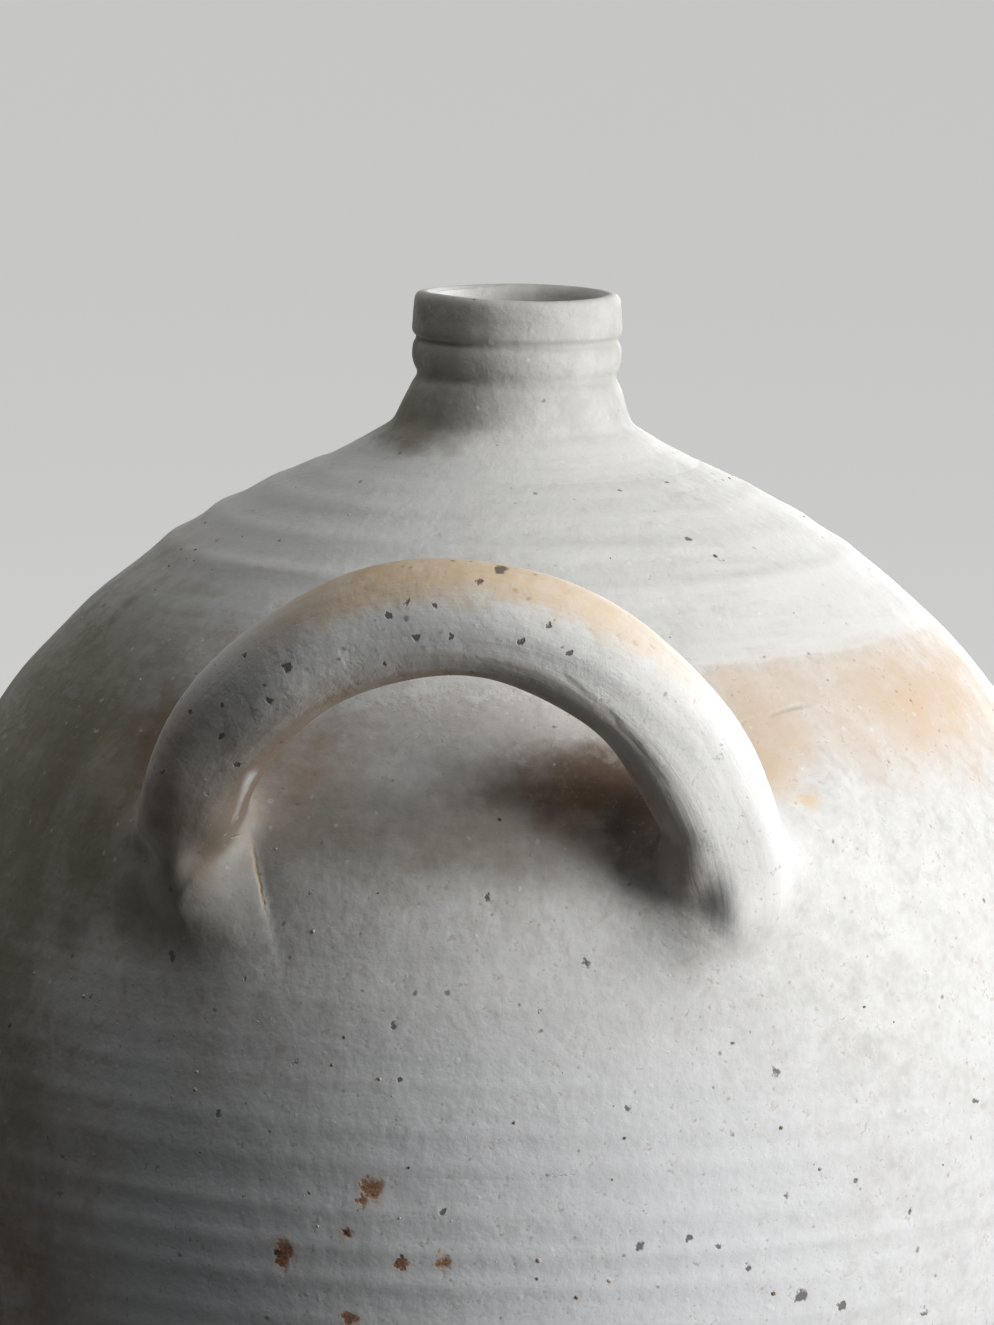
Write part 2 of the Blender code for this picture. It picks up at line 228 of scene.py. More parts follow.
def shaping_tree(name, sizes):
    """Bench on a new node tree that makes geometry, with its incoming geometry and a wire for each size."""
    tree = bpy.data.node_groups.new(name, "GeometryNodeTree")
    tree.interface.new_socket("Geometry", in_out="INPUT", socket_type="NodeSocketGeometry")
    for key, kind, value in sizes:
        tree.interface.new_socket(key, in_out="INPUT", socket_type=kind).default_value = value
    tree.interface.new_socket("Geometry", in_out="OUTPUT", socket_type="NodeSocketGeometry")
    bench = Bench(tree)
    incoming = bench.node("NodeGroupInput")
    return bench, incoming, [bench.out(incoming, key) for key, _, _ in sizes]


def kept_number(bench, name, kind="FLOAT"):
    return bench.node("GeometryNodeInputNamedAttribute", {"data_type": kind}, {"Name": name})


def finish_shape(bench, geometry, material):
    """Ends a shaping tree: real, smooth geometry that wears its material."""
    smooth = bench.node("GeometryNodeSetShadeSmooth", None, {0: geometry})
    real = bench.node("GeometryNodeRealizeInstances", None, {0: smooth})
    dressed = bench.node("GeometryNodeSetMaterial", None, {"Geometry": real, "Material": material})
    bench.node("NodeGroupOutput", None, {0: dressed})
    return bench.tree


def placed(name, data):
    """A new object at the origin of the scene."""
    item = bpy.data.objects.new(name, data)
    bpy.context.scene.collection.objects.link(item)
    return item


def keep_at_points(mesh, name, numbers):
    """Keeps a number or a vector at each point of a mesh."""
    kind, field = ("FLOAT_VECTOR", "vector") if numbers.ndim == 2 else ("FLOAT", "value")
    mesh.attributes.new(name, kind, "POINT").data.foreach_set(field, numbers.ravel())


def spots_of(mesh):
    spots = np.zeros(len(mesh.vertices) * 3)
    mesh.vertices.foreach_get("co", spots)
    return spots.reshape(-1, 3)


# Outline of the wall


def curve_through(start, start_reach, end_reach, end, share):
    """Places on a curve that leaves one end towards its reach and comes to the other from its reach."""
    share = np.asarray(share)[:, None]
    rest = 1.0 - share
    start, start_reach, end_reach, end = (np.asarray(point) for point in (start, start_reach, end_reach, end))
    middle = 3.0 * start_reach * rest**2 * share + 3.0 * end_reach * rest * share**2
    return start * rest**3 + middle + end * share**3


def heading(degrees, reach):
    """The way across and up of a reach at some degrees above level."""
    return reach * math.cos(math.radians(degrees)), reach * math.sin(math.radians(degrees))


def potters_profile():
    """Radius and height in fine steps down the outside of the wall, from the crease to the foot."""
    share = np.linspace(0.0, 1.0, PROFILE_POINTS)
    crease, belly, foot = (CREASE_RADIUS, CREASE_HEIGHT), (BELLY_RADIUS, BELLY_HEIGHT), (FOOT_RADIUS, 0.0)
    above, below = (belly[0], belly[1] + BELLY_REACH_UP), (belly[0], belly[1] - BELLY_REACH_DOWN)
    out, up = heading(*CREASE_HEADING)
    upper = curve_through(crease, (crease[0] + out, crease[1] + up), above, belly, share)
    out, up = heading(*FOOT_HEADING)
    lower = curve_through(belly, below, (foot[0] + out, up), foot, share)
    return np.vstack([upper, lower[1:]])


def way_along(outline):
    """Distance from an outline's start to each of its points."""
    return np.concatenate([[0.0], np.cumsum(np.linalg.norm(np.diff(outline, axis=0), axis=1))])


PROFILE = potters_profile()
TRAVEL = way_along(PROFILE)


def wall_at(height):
    """Radius of the wall and distance down it from the crease, at some heights."""
    order = slice(None, None, -1)
    radius = np.interp(height, PROFILE[order, 1], PROFILE[order, 0])
    travel = np.interp(height, PROFILE[order, 1], TRAVEL[order])
    return radius, travel


def step_between(value, low, high):
    """Smooth step from 0 at low to 1 at high."""
    share = np.clip((value - low) / (high - low), 0.0, 1.0)
    return share * share * (3.0 - 2.0 * share)


def low_ridge(place):
    """One of the ridges low on the wall, which don't keep quite to their pitch."""
    out = RIDGE_STAND + RIDGE_STAND_DRIFT * math.sin(place * 2.0)
    return place + RIDGE_DRIFT * math.sin(place), out, RIDGE_BREADTH


def ridges(height):
    """How far the finger ridges stand out at some heights, from hollows a little inside the wall."""
    low = np.arange(RIDGES[-1][0] - RIDGE_PITCH, LOWEST_RIDGE, -RIDGE_PITCH)
    every = (*RIDGES, *map(low_ridge, low))
    stand = sum(MM * out / (1.0 + ((height / MM - place) / width) ** 2) for place, out, width in every)
    return (stand - RIDGE_HOLLOW) * step_between(height, *RIDGES_FADE)


def throwing_marks(turn, travel, ridge, sine):
    """How far the thrown wall stands out, from the angle round the jar, the way down it and its ridges."""
    firm = 0.72 + 0.28 * sine(turn + travel * 2.5 - 2.2)
    uneven = 0.8 + 0.2 * sine(turn * 3.0 + travel * 190.0 + 1.0)
    drift = travel + 0.0014 * sine(turn + travel * 19.0 + 0.6)
    drift = drift + 0.001 * sine(turn * 2.0 - travel * 57.0 + 1.1)
    wide, narrow = (drift * (TAU / pitch) for pitch in THIN_RIDGE_PITCHES)
    thin_ridge = sine(wide + turn) + 0.6 * sine(narrow - turn * 2.0 + 0.7)
    wobble = sine(turn * 2.0 + travel * 9.0 + 0.4) + 0.7 * sine(turn * 3.0 - travel * 14.0 + 2.0)
    return ridge * firm * uneven + THIN_RIDGE * (thin_ridge - 1.6) + WALL_WOBBLE * (wobble - 1.7)


# Turned pieces

NECK_JOIN = 0.4186
BELLY_JOIN = 0.236
FOOT_JOIN = 0.013
STEPS = 560
NECK_STEPS = STEPS // 2
WELD = 0.00001
SHARP_ANGLE = math.radians(50.0)

# Spacing of the rows on each worked face and each inner face
COLLAR_ROWS = 0.0009
SHOULDER_ROWS = 0.0017
BODY_ROWS = 0.0019
HEEL_ROWS = 0.0018
FUNNEL_ROWS = 0.0016
INNER_ROWS = (0.012, 0.014)
FLOOR_ROWS = 0.02

# Corners that the neck is drawn through, and the foot's under side: radius and height in millimetres
NECK_OUTSIDE = (
    (26.3, 469.2), (27.2, 469.9), (29.4, 470), (30.8, 469.5), (31.7, 468), (32, 465), (32.2, 461),
    (32.4, 458.6), (32.2, 457.2), (31.6, 456.6), (31, 456.1), (31, 455.4), (31.6, 454.7), (32.1, 453.4),
    (32.3, 451.2), (32.1, 448.8), (31.4, 446.8), (30.7, 445.6), (30.6, 444.6), (30.9, 443.6), (31.7, 442.4),
    (32.6, 440.4), (33.9, 437.2), (35, 434.4), (36.2, 431.8), (37.4, 430.2), (39.2, 429), (42, 427.4),
    (46, 425), (50, 422.7), (54, 420.6),
)
NECK_INSIDE = (
    (40, 416.2), (30.5, 417.5), (24, 424), (20.6, 431), (19.3, 438), (19.2, 446), (20, 452), (22.4, 458),
    (24.2, 463.5), (25, 466.6), (25.6, 468.4),
)
UNDER_FOOT = ((105.5, 0.9), (103.5, 0), (94, 0), (90, 0.6), (50, 0.9), (0, 0.9))
HEEL_BOTTOM = 0.0026
NECK_LEAN = 0.0013
LEAN_BETWEEN = (0.426, 0.446)


def outward_of(outline):
    """Unit normals of an outline that runs down a wall's outside. An end on the profile takes its normal."""
    along = np.gradient(outline, axis=0)
    for end in (0, -1):
        place = np.argmin(np.linalg.norm(PROFILE - outline[end], axis=1))
        if np.linalg.norm(PROFILE[place] - outline[end]) < MM:
            low, high = max(place - 2, 0), min(place + 2, len(PROFILE) - 1)
            along[end] = PROFILE[high] - PROFILE[low]
    normal = np.column_stack([-along[:, 1], along[:, 0]])
    return normal / np.linalg.norm(normal, axis=1)[:, None]


def even_rows(outline, spacing):
    """The same outline with its points a fixed distance apart."""
    way = way_along(outline)
    marks = np.linspace(0.0, way[-1], max(2, round(way[-1] / spacing) + 1))
    return np.column_stack([np.interp(marks, way, outline[:, column]) for column in (0, 1)])


def wall_between(top, bottom, spacing):
    """Outer wall between two heights, in even rows."""
    kept = PROFILE[(PROFILE[:, 1] < top) & (PROFILE[:, 1] > bottom)]
    ends = [[wall_at(height)[0], height] for height in (top, bottom)]
    return even_rows(np.vstack([ends[0], kept, ends[1]]), spacing)


def inside_of(outline, thickness, spacing):
    """The wall's inner face, from the bottom back up to the top."""
    return even_rows((outline - outward_of(outline) * thickness)[::-1], spacing)


def rounded(points, spacing, passes=3):
    """A profile drawn through corner points and softened by cutting its corners."""
    points = np.array(points)
    for _ in range(passes):
        near = points[:-1] * 0.75 + points[1:] * 0.25
        far = points[:-1] * 0.25 + points[1:] * 0.75
        cut = np.column_stack([near, far]).reshape(-1, 2)
        points = np.vstack([points[:1], cut, points[-1:]])
    return even_rows(points, spacing)


def outline_mesh(name, runs, lean):
    """Outline of a turned piece, from runs of points. A run on a worked face carries the finger marks."""
    outline = np.vstack([points for points, _ in runs])
    mesh = bpy.data.meshes.new(name)
    mesh.from_pydata([(radius, 0.0, height) for radius, height in outline], [], [])
    worked = np.concatenate([np.full(len(points), face) for points, face in runs])
    normal = np.vstack([outward_of(points) if face else np.zeros_like(points) for points, face in runs])
    outward = np.column_stack([normal[:, 0], np.zeros(len(outline)), normal[:, 1]])
    above = CREASE_HEIGHT - outline[:, 1]
    travel = np.where(above < 0.0, above, wall_at(outline[:, 1])[1])
    keep_at_points(mesh, "outward", outward)
    keep_at_points(mesh, "travel", travel)
    keep_at_points(mesh, "ridge", np.where(worked, ridges(outline[:, 1]), 0.0))
    keep_at_points(mesh, "lean", lean(outline[:, 1]))
    return mesh


def turning_tree(name, material):
    """Node tree that turns an outline round the jar's axis and presses the finger marks into it."""
    sizes = (("Steps", "NodeSocketInt", STEPS), ("Rows", "NodeSocketInt", 2), ("Wrap", "NodeSocketInt", 1))
    bench, outline, (steps, rows, wrap) = shaping_tree(name, sizes)
    lines = rows + wrap
    grid = bench.node("GeometryNodeMeshGrid", None, {"Vertices X": steps + 1.0, "Vertices Y": lines})
    index = bench.node("GeometryNodeInputIndex")
    line = index % lines
    turn = (index - line) / lines * TAU / steps
    place = line % rows

    def from_outline(kind, field):
        sockets = {"Geometry": outline, "Value": field, "Index": place}
        return bench.node("GeometryNodeSampleIndex", {"data_type": kind, "domain": "POINT"}, sockets)

    spot = from_outline("FLOAT_VECTOR", bench.node("GeometryNodeInputPosition"))
    outward = from_outline("FLOAT_VECTOR", kept_number(bench, "outward", "FLOAT_VECTOR"))
    kept = [from_outline("FLOAT", kept_number(bench, key)) for key in ("travel", "ridge", "lean")]
    travel, ridge, lean = kept
    marks = throwing_marks(turn, travel, ridge, lambda wire: wire.maths("SINE"))
    marked = bench.vector("ADD", spot, bench.scaled(outward, marks))
    radius = bench.node("ShaderNodeSeparateXYZ", None, {0: marked})
    height = bench.out(radius, "Z")
    across, ahead = radius * turn.maths("COSINE") + lean, radius * turn.maths("SINE")
    place_round = bench.node("ShaderNodeCombineXYZ", None, {0: across, 1: ahead, 2: height})
    turned = bench.node("GeometryNodeSetPosition", None, {"Geometry": grid, "Position": place_round})
    welded = bench.node("GeometryNodeMergeByDistance", None, {"Geometry": turned, "Distance": WELD})
    return finish_shape(bench, welded, material)


def made_by(tree, name, mesh, inputs):
    """Runs a node tree on a mesh and keeps the result as a plain mesh object with outward faces."""
    piece = placed(name, mesh)
    shaping = piece.modifiers.new("shaping", "NODES")
    shaping.node_group = tree
    sockets = {item.name: item.identifier for item in tree.interface.items_tree if item.in_out == "INPUT"}
    for key, value in inputs.items():
        shaping[sockets[key]] = value
    graph = bpy.context.evaluated_depsgraph_get()
    plain = bpy.data.meshes.new_from_object(piece.evaluated_get(graph))
    piece.modifiers.remove(shaping)
    plain.name = name
    piece.data = plain
    return piece


def upright(height):
    """No lean at all."""
    return np.zeros_like(height)


def turned_piece(name, tree, runs, steps, wrap=True, lean=upright):
    """One thrown piece, turned from its runs of outline. Without a wrap it ends in a pole on the axis."""
    outline = outline_mesh(name + "_outline", runs, lean)
    piece = made_by(tree, name, outline, {"Steps": steps, "Rows": len(outline.vertices), "Wrap": int(wrap)})
    piece.data.set_sharp_from_angle(angle=SHARP_ANGLE)
    return piece


def millimetres(points):
    return [(radius * MM, height * MM) for radius, height in points]


def neck_lean(height):
    """The neck was pushed a little to one side when it was luted on."""
    return NECK_LEAN * step_between(height, *LEAN_BETWEEN)


def make_thrown_pieces(tree, foot_tree):
    """Neck, shoulder, lower body and foot. Neighbours share the ring of points where they meet."""
    neck_join = (wall_at(NECK_JOIN)[0], NECK_JOIN)
    collar = rounded([*millimetres(NECK_OUTSIDE), neck_join], COLLAR_ROWS, 2)
    shoulder = wall_between(NECK_JOIN, BELLY_JOIN, SHOULDER_ROWS)
    body = wall_between(BELLY_JOIN, FOOT_JOIN, BODY_ROWS)
    shoulder_inside = inside_of(shoulder, SHOULDER_WALL, INNER_ROWS[0])
    body_inside = inside_of(body, LOWER_WALL, INNER_ROWS[1])
    funnel = rounded([shoulder_inside[-1], *millimetres(NECK_INSIDE)], FUNNEL_ROWS)
    heel = wall_between(FOOT_JOIN, HEEL_BOTTOM, HEEL_ROWS)
    well_rim = body_inside[0][0]
    well = [(0.0, FLOOR_TOP), (0.05, FLOOR_TOP), (well_rim - 0.003, FLOOR_TOP), (well_rim, FOOT_JOIN)]
    well, under = even_rows(np.array(well), FLOOR_ROWS), np.array(millimetres(UNDER_FOOT))
    base = [(well, False), (heel, True), (under, False)]
    return [
        turned_piece("banded_neck", tree, [(collar, True), (funnel, False)], NECK_STEPS, lean=neck_lean),
        turned_piece("thrown_shoulder", tree, [(shoulder, True), (shoulder_inside, False)], STEPS),
        turned_piece("thrown_body", tree, [(body, True), (body_inside, False)], STEPS),
        turned_piece("foot_slab", foot_tree, base, STEPS, wrap=False),
    ]


# Handles: pulled clay, smeared out on to the shoulder at both ends


def blended(first, second, reach):
    """The nearer of two distances, with the corner between them filled by a fillet of about that reach."""
    near = np.clip(1.0 - np.abs(first - second) / reach, 0.0, 1.0)
    return np.minimum(first, second) - near**3 * reach / 6.0


def hump(value, middle, width):
    """Bell that is 1 at its middle."""
    return np.exp(-(((value - middle) / width) ** 2))


def wall_gap(points):
    """Distance out from the thrown wall, its finger marks included."""
    radius = np.hypot(points[:, 0], points[:, 1])
    wall, travel = wall_at(points[:, 2])
    lower, _ = wall_at(points[:, 2] - MM)
    slope = (lower - wall) / MM
    turn = np.arctan2(points[:, 1], points[:, 0]) % TAU
    marks = throwing_marks(turn, travel, ridges(points[:, 2]), np.sin)
    return (radius - wall) / np.hypot(1.0, slope) - marks


def coil_place(points):
    """Where points lie by the coil: the angle up the arch, and how far outside, behind and up they are."""
    upward = np.array([0.0, -math.cos(ARCH_LEAN), math.sin(ARCH_LEAN)])
    back = np.array([0.0, math.sin(ARCH_LEAN), math.cos(ARCH_LEAN)])
    rise = (points - ARCH_FOOT) @ upward
    behind = (points - ARCH_FOOT) @ back
    side = points[:, 0]
    above = np.maximum(rise, 0.0)
    angle = np.arctan2(above / ARCH_RISE, side / ARCH_HALF_SPAN)
    for _ in range(CLOSING_STEPS):
        across = np.stack([ARCH_HALF_SPAN * np.cos(angle) - side, ARCH_RISE * np.sin(angle) - above])
        way = np.stack([-ARCH_HALF_SPAN * np.sin(angle), ARCH_RISE * np.cos(angle)])
        bend = np.stack([-ARCH_HALF_SPAN * np.cos(angle), -ARCH_RISE * np.sin(angle)])
        slope = (way * way).sum(0) + (across * bend).sum(0)
        angle = angle - (across * way).sum(0) / np.maximum(slope, 0.001)
    angle = np.where(rise > 0.0, np.clip(angle, 0.0, math.pi), np.where(side > 0.0, 0.0, math.pi))
    middle = np.stack([ARCH_HALF_SPAN * np.cos(angle), ARCH_RISE * np.sin(angle)])
    out = np.stack([np.cos(angle) / ARCH_HALF_SPAN, np.sin(angle) / ARCH_RISE])
    out = out / np.linalg.norm(out, axis=0)
    outside = ((np.stack([side, above]) - middle) * out).sum(0)
    return angle, outside, behind, rise


def coil_gap(points, gap, sunk):
    """Distance out from the pulled coil, thicker towards the wall. Sunk, its ends bend in under the roots."""
    angle, outside, behind, rise = coil_place(points)
    on_right = angle < TAU / 4
    bends_at = np.where(on_right, COIL_BENDS_IN_RIGHT, COIL_BENDS_IN_LEFT)
    behind = behind - sunk * np.maximum(bends_at - rise, 0.0) ** 2 / (2.0 * COIL_BEND_RADIUS)
    high = np.sin(angle)
    twist = np.where(on_right, COIL_TWIST_RIGHT, COIL_TWIST_LEFT)
    twist = twist * (1.0 - high * high) + COIL_TWIST_TOP * high * high
    square = COIL_SQUARE + (COIL_SQUARE_TOP - COIL_SQUARE) * high * high
    cosine, sine = np.cos(twist), np.sin(twist)
    outside, behind = outside * cosine + behind * sine, behind * cosine - outside * sine
    swell = COIL_SWELL * np.exp(-np.maximum(gap, 0.0) / COIL_SWELL_FADE)
    half_width = COIL_HALF_WIDTH_LEG + (COIL_HALF_WIDTH_TOP - COIL_HALF_WIDTH_LEG) * high + swell
    foot = step_between(rise, *COIL_FLARE_FOOT_FROM) * (points[:, 0] > 0.0)
    flare = COIL_FLARE_LEG * hump(angle, *COIL_FLARE_LEG_AT) + COIL_FLARE_FOOT * foot
    half_width = half_width + flare * (outside < 0.0)
    half_depth = COIL_HALF_DEPTH + swell
    wide, deep = np.abs(outside / half_width), np.abs(behind / half_depth)
    scaled = (wide**square + deep**square) ** (1.0 / square)
    power = square - 1.0
    slope = np.hypot(wide**power / half_width, deep**power / half_depth) / np.maximum(scaled, 0.001) ** power
    around = np.arctan2(behind / half_depth, -outside / half_width)
    round_coil = (scaled - 1.0) / np.maximum(slope, 1.0)
    groove = COIL_GROOVE * hump(around, *COIL_GROOVE_AT) * high * step_between(angle, *COIL_GROOVE_ALONG)
    lump = 0.0004 * np.sin(angle * 5.0 + around) + 0.0003 * np.sin(angle * 9.0 - 2.0 * around + 1.0) + 0.0007
    return round_coil + groove + lump


def root_mound(side, rise):
    """How far the clay of the roots stands out from the wall. The left one was pared down to a flat slope."""
    left = side < 0.0
    across, up = np.abs(side) - np.where(left, ROOT_CREST_LEFT, ROOT_CREST_RIGHT), rise - ROOT_CREST_UP
    across_reach = np.where(across < 0.0, np.where(left, ROOT_IN_LEFT, ROOT_IN_RIGHT), ROOT_OUT)
    up_reach = np.where(left & (up < 0.0), ROOT_DOWN_LEFT, ROOT_UP)
    below_edge = CUT_EDGE_AT - CUT_EDGE_SLANT * rise - side
    slope_width = np.clip(PARED_WIDTH + PARED_WIDENS * (PARED_FROM - rise), *PARED_WIDTHS)
    pared = np.clip(below_edge / slope_width, 0.0, 1.0)
    lip = CUT_EDGE_LIP * step_between(below_edge, *CUT_EDGE_LIP_FROM)
    lip = lip * hump(rise, ROOT_CREST_UP, CUT_EDGE_LIP_TALL)
    height = np.where(left, ROOT_HEIGHT_LEFT * pared, ROOT_HEIGHT_RIGHT)
    return height * np.exp(-((across / across_reach) ** 2) - (up / up_reach) ** 2) + lip * left


def away_from(coil, rise):
    """Distance from the handle and its roots, for the skirt's edge."""
    return np.hypot(np.maximum(coil, 0.0), np.maximum(-SKIRT_BELOW - rise, 0.0))


def handle_gap(points):
    """Clay of one handle: a coil blended into its two roots, with a skirt that lies flush with the wall."""
    gap = wall_gap(points)
    coil = coil_gap(points, gap, 1.0)
    _, outside, behind, rise = coil_place(points)
    away = away_from(coil_gap(points, gap, 0.0), rise)
    skirt = step_between(away, SKIRT_REACH - SKIRT_FADE, SKIRT_REACH)
    wall = gap - root_mound(points[:, 0], rise) * (1.0 - skirt)
    inner = step_between(outside, *FILLET_SIDE_FROM)
    front = step_between(behind, *FILLET_SIDE_FROM) * (1.0 - inner)
    smeared = step_between(outside, *SMEARED_OUT_FROM) * hump(rise, *SMEARED_UP_AT) * (points[:, 0] > 0.0)
    fillet = FILLET + FILLET_IN_FRONT * front + FILLET_SMEARED * smeared
    joined = blended(wall, coil, fillet) + SKIRT_LIFT * skirt
    return np.maximum(joined, np.maximum(SKIRT_DEPTH - gap, away - SKIRT_REACH))


def press_under(piece, fields):
    """Lowers the wall a little where the handles' skirts lie on it, so that they come out flush."""
    mesh = piece.data
    spots = spots_of(mesh)
    outer = np.hypot(spots[:, 0], spots[:, 1]) > wall_at(spots[:, 2])[0] - OUTER_FACE_WITHIN
    fade = [SKIRT_REACH - value for value in WALL_DIP_FADE]
    for turn in fields:
        turned = spots * (1.0, math.cos(turn), 1.0)
        away = away_from(coil_gap(turned, wall_gap(turned), 0.0), coil_place(turned)[3])
        dip = WALL_DIP * step_between(away, *fade) * outer
        spots[:, :2] *= (1.0 - dip / WALL_DIP_RADIUS)[:, None]
    mesh.vertices.foreach_set("co", spots.ravel())
    mesh.update()


def clay_skin(name, field, low, high, step):
    """Closed skin where a field of distances changes sign, with its points moved on to the surface.

    Each cell of a grid that the surface crosses gets a point, at the middle of the crossings on its edges.
    Each edge that crosses the surface gets a face between the four cells round it.
    """
    axes = [np.arange(start, end + step, step) for start, end in zip(low, high)]
    grid = np.stack(np.meshgrid(*axes, indexing="ij"), -1)
    shape = grid.shape[:3]
    value = field(grid.reshape(-1, 3)).reshape(shape)
    inside = value < 0.0
    corners = [(a, b, c) for a in (0, 1) for b in (0, 1) for c in (0, 1)]

    def at(array, corner):
        return array[tuple(slice(k, n - 1 + k) for k, n in zip(corner, shape))]

    count = sum(at(inside, corner).astype(int) for corner in corners)
    cells = np.argwhere((count > 0) & (count < 8))
    number = np.full([n - 1 for n in shape], -1)
    number[tuple(cells.T)] = np.arange(len(cells))
    total, weight = np.zeros((len(cells), 3)), np.zeros(len(cells))
    for first in corners:
        for axis in range(3):
            if first[axis]:
                continue
            second = tuple(1 if k == axis else first[k] for k in range(3))
            near, far = (value[tuple((cells + np.array(corner)).T)] for corner in (first, second))
            crosses = (near < 0.0) != (far < 0.0)
            share = np.where(crosses, near / np.where(crosses, near - far, 1.0), 0.0)
            spot = np.array(first) + np.eye(3)[axis] * share[:, None]
            total += np.where(crosses[:, None], spot, 0.0)
            weight += crosses
    points = np.array([axis[0] for axis in axes]) + (cells + total / weight[:, None]) * step
    faces = []
    for axis in range(3):
        near = inside[tuple(slice(0, -1) if k == axis else slice(1, -1) for k in range(3))]
        far = inside[tuple(slice(1, None) if k == axis else slice(1, -1) for k in range(3))]
        spots = np.argwhere(near != far) + np.array([0 if k == axis else 1 for k in range(3)])
        leaves = near[near != far]
        u, v = np.eye(3, dtype=int)[(axis + 1) % 3], np.eye(3, dtype=int)[(axis + 2) % 3]
        ring = np.stack([number[tuple((spots - shift).T)] for shift in (u + v, v, 0 * u, u)], 1)
        faces.append(np.where(leaves[:, None], ring, ring[:, ::-1]))
    points = moved_on_to(field, points, step * 0.05)
    mesh = bpy.data.meshes.new(name)
    mesh.from_pydata(points.tolist(), [], np.vstack(faces).tolist())
    mesh.shade_smooth()
    return mesh


def moved_on_to(field, points, probe):
    """Points moved along the field's slope until its distance is nothing."""
    for _ in range(CLOSING_STEPS):
        value = field(points)
        rise = np.stack([field(points + np.eye(3)[axis] * probe) - value for axis in range(3)], 1) / probe
        steep = np.maximum((rise * rise).sum(1), 0.2)
        points = points - np.clip(value / steep, -probe * 8.0, probe * 8.0)[:, None] * rise
    return points


def mark_coil(mesh, mirror):
    """Keeps at each point the angle along the arch, which way it faces, and the coil's share of it."""
    spots = spots_of(mesh) * mirror
    angle, outside, behind, _ = coil_place(spots)
    around = np.arctan2(behind / COIL_HALF_DEPTH, -outside / COIL_HALF_WIDTH_TOP)
    keep_at_points(mesh, "coil_place", np.column_stack([angle, np.cos(around), -np.sin(around)]))
    keep_at_points(mesh, "coil_share", step_between(wall_gap(spots), *COIL_CLEAR_OF_WALL))


def make_handle(name, material, turn, mirror):
    """One handle with both its roots, turned round the jar to its side."""

    def field(points):
        return handle_gap(points * mirror)

    mesh = clay_skin(name, field, *HANDLE_BOX, CLAY_STEP)
    mark_coil(mesh, mirror)
    mesh.transform(Matrix.Rotation(turn, 4, "Z"))
    mesh.materials.append(material)
    return placed(name, mesh)


# Crumbs of clay and ash that stuck to the wall in the kiln

# Where crumbs lie close together: middle in millimetres, spread in millimetres and how many
CRUMB_DRIFTS = (
    ((-80, -162, 293), 7, 12), ((-107, -151, 277), 5, 7), ((-70, -160, 306), 6, 6),
    ((-55, -180, 262), 24, 16), ((20, -187, 226), 30, 16), ((-96, -60, 388), 14, 8),
)
LOOSE_CRUMBS = 230
LARGEST_CRUMB = 0.00085
SMALLEST_SHARE = 0.35
CRUMBS_MOSTLY_SMALL = 2.5
DRIFT_FLATNESS = 0.7
CRUMB_HEIGHTS = (0.03, 0.425)
CRUMB_SEED = 17
CRUMB_SHAPE = {"Flatness": 0.55, "Seed": 5}
CLEAR_OF_HANDLES = -0.0006


def crumb_spots():
    """Angle round the jar and height of each crumb on the wall."""
    draw = np.random.default_rng(CRUMB_SEED)
    turn = [draw.uniform(0.0, TAU, LOOSE_CRUMBS)]
    height = [draw.uniform(*CRUMB_HEIGHTS, LOOSE_CRUMBS)]
    for (x, y, z), spread, count in CRUMB_DRIFTS:
        turn.append(math.atan2(y, x) % TAU + draw.normal(0.0, spread / math.hypot(x, y), count))
        height.append(np.clip(z * MM + draw.normal(0.0, spread * MM * DRIFT_FLATNESS, count), *CRUMB_HEIGHTS))
    return np.concatenate(turn) % TAU, np.concatenate(height), draw


def crumb_seats():
    """Vertices where crumbs sit, with the way out of the wall there and the crumbs' sizes."""
    turn, height, draw = crumb_spots()
    wall, travel = wall_at(height)
    rise = (wall_at(height - MM)[0] - wall) / MM
    out = np.column_stack([np.cos(turn), np.sin(turn), rise]) / np.hypot(1.0, rise)[:, None]
    marks = throwing_marks(turn, travel, ridges(height), np.sin)
    spots = np.column_stack([wall * np.cos(turn), wall * np.sin(turn), height]) + out * marks[:, None]
    share = draw.uniform(0.0, 1.0, len(spots)) ** CRUMBS_MOSTLY_SMALL
    size = LARGEST_CRUMB * (SMALLEST_SHARE + (1.0 - SMALLEST_SHARE) * share)
    bare = np.minimum(handle_gap(spots), handle_gap(spots * (-1.0, -1.0, 1.0))) > CLEAR_OF_HANDLES
    mesh = bpy.data.meshes.new("crumb_seats")
    mesh.from_pydata(spots[bare].tolist(), [], [])
    keep_at_points(mesh, "outward", out[bare])
    keep_at_points(mesh, "size", size[bare])
    return mesh


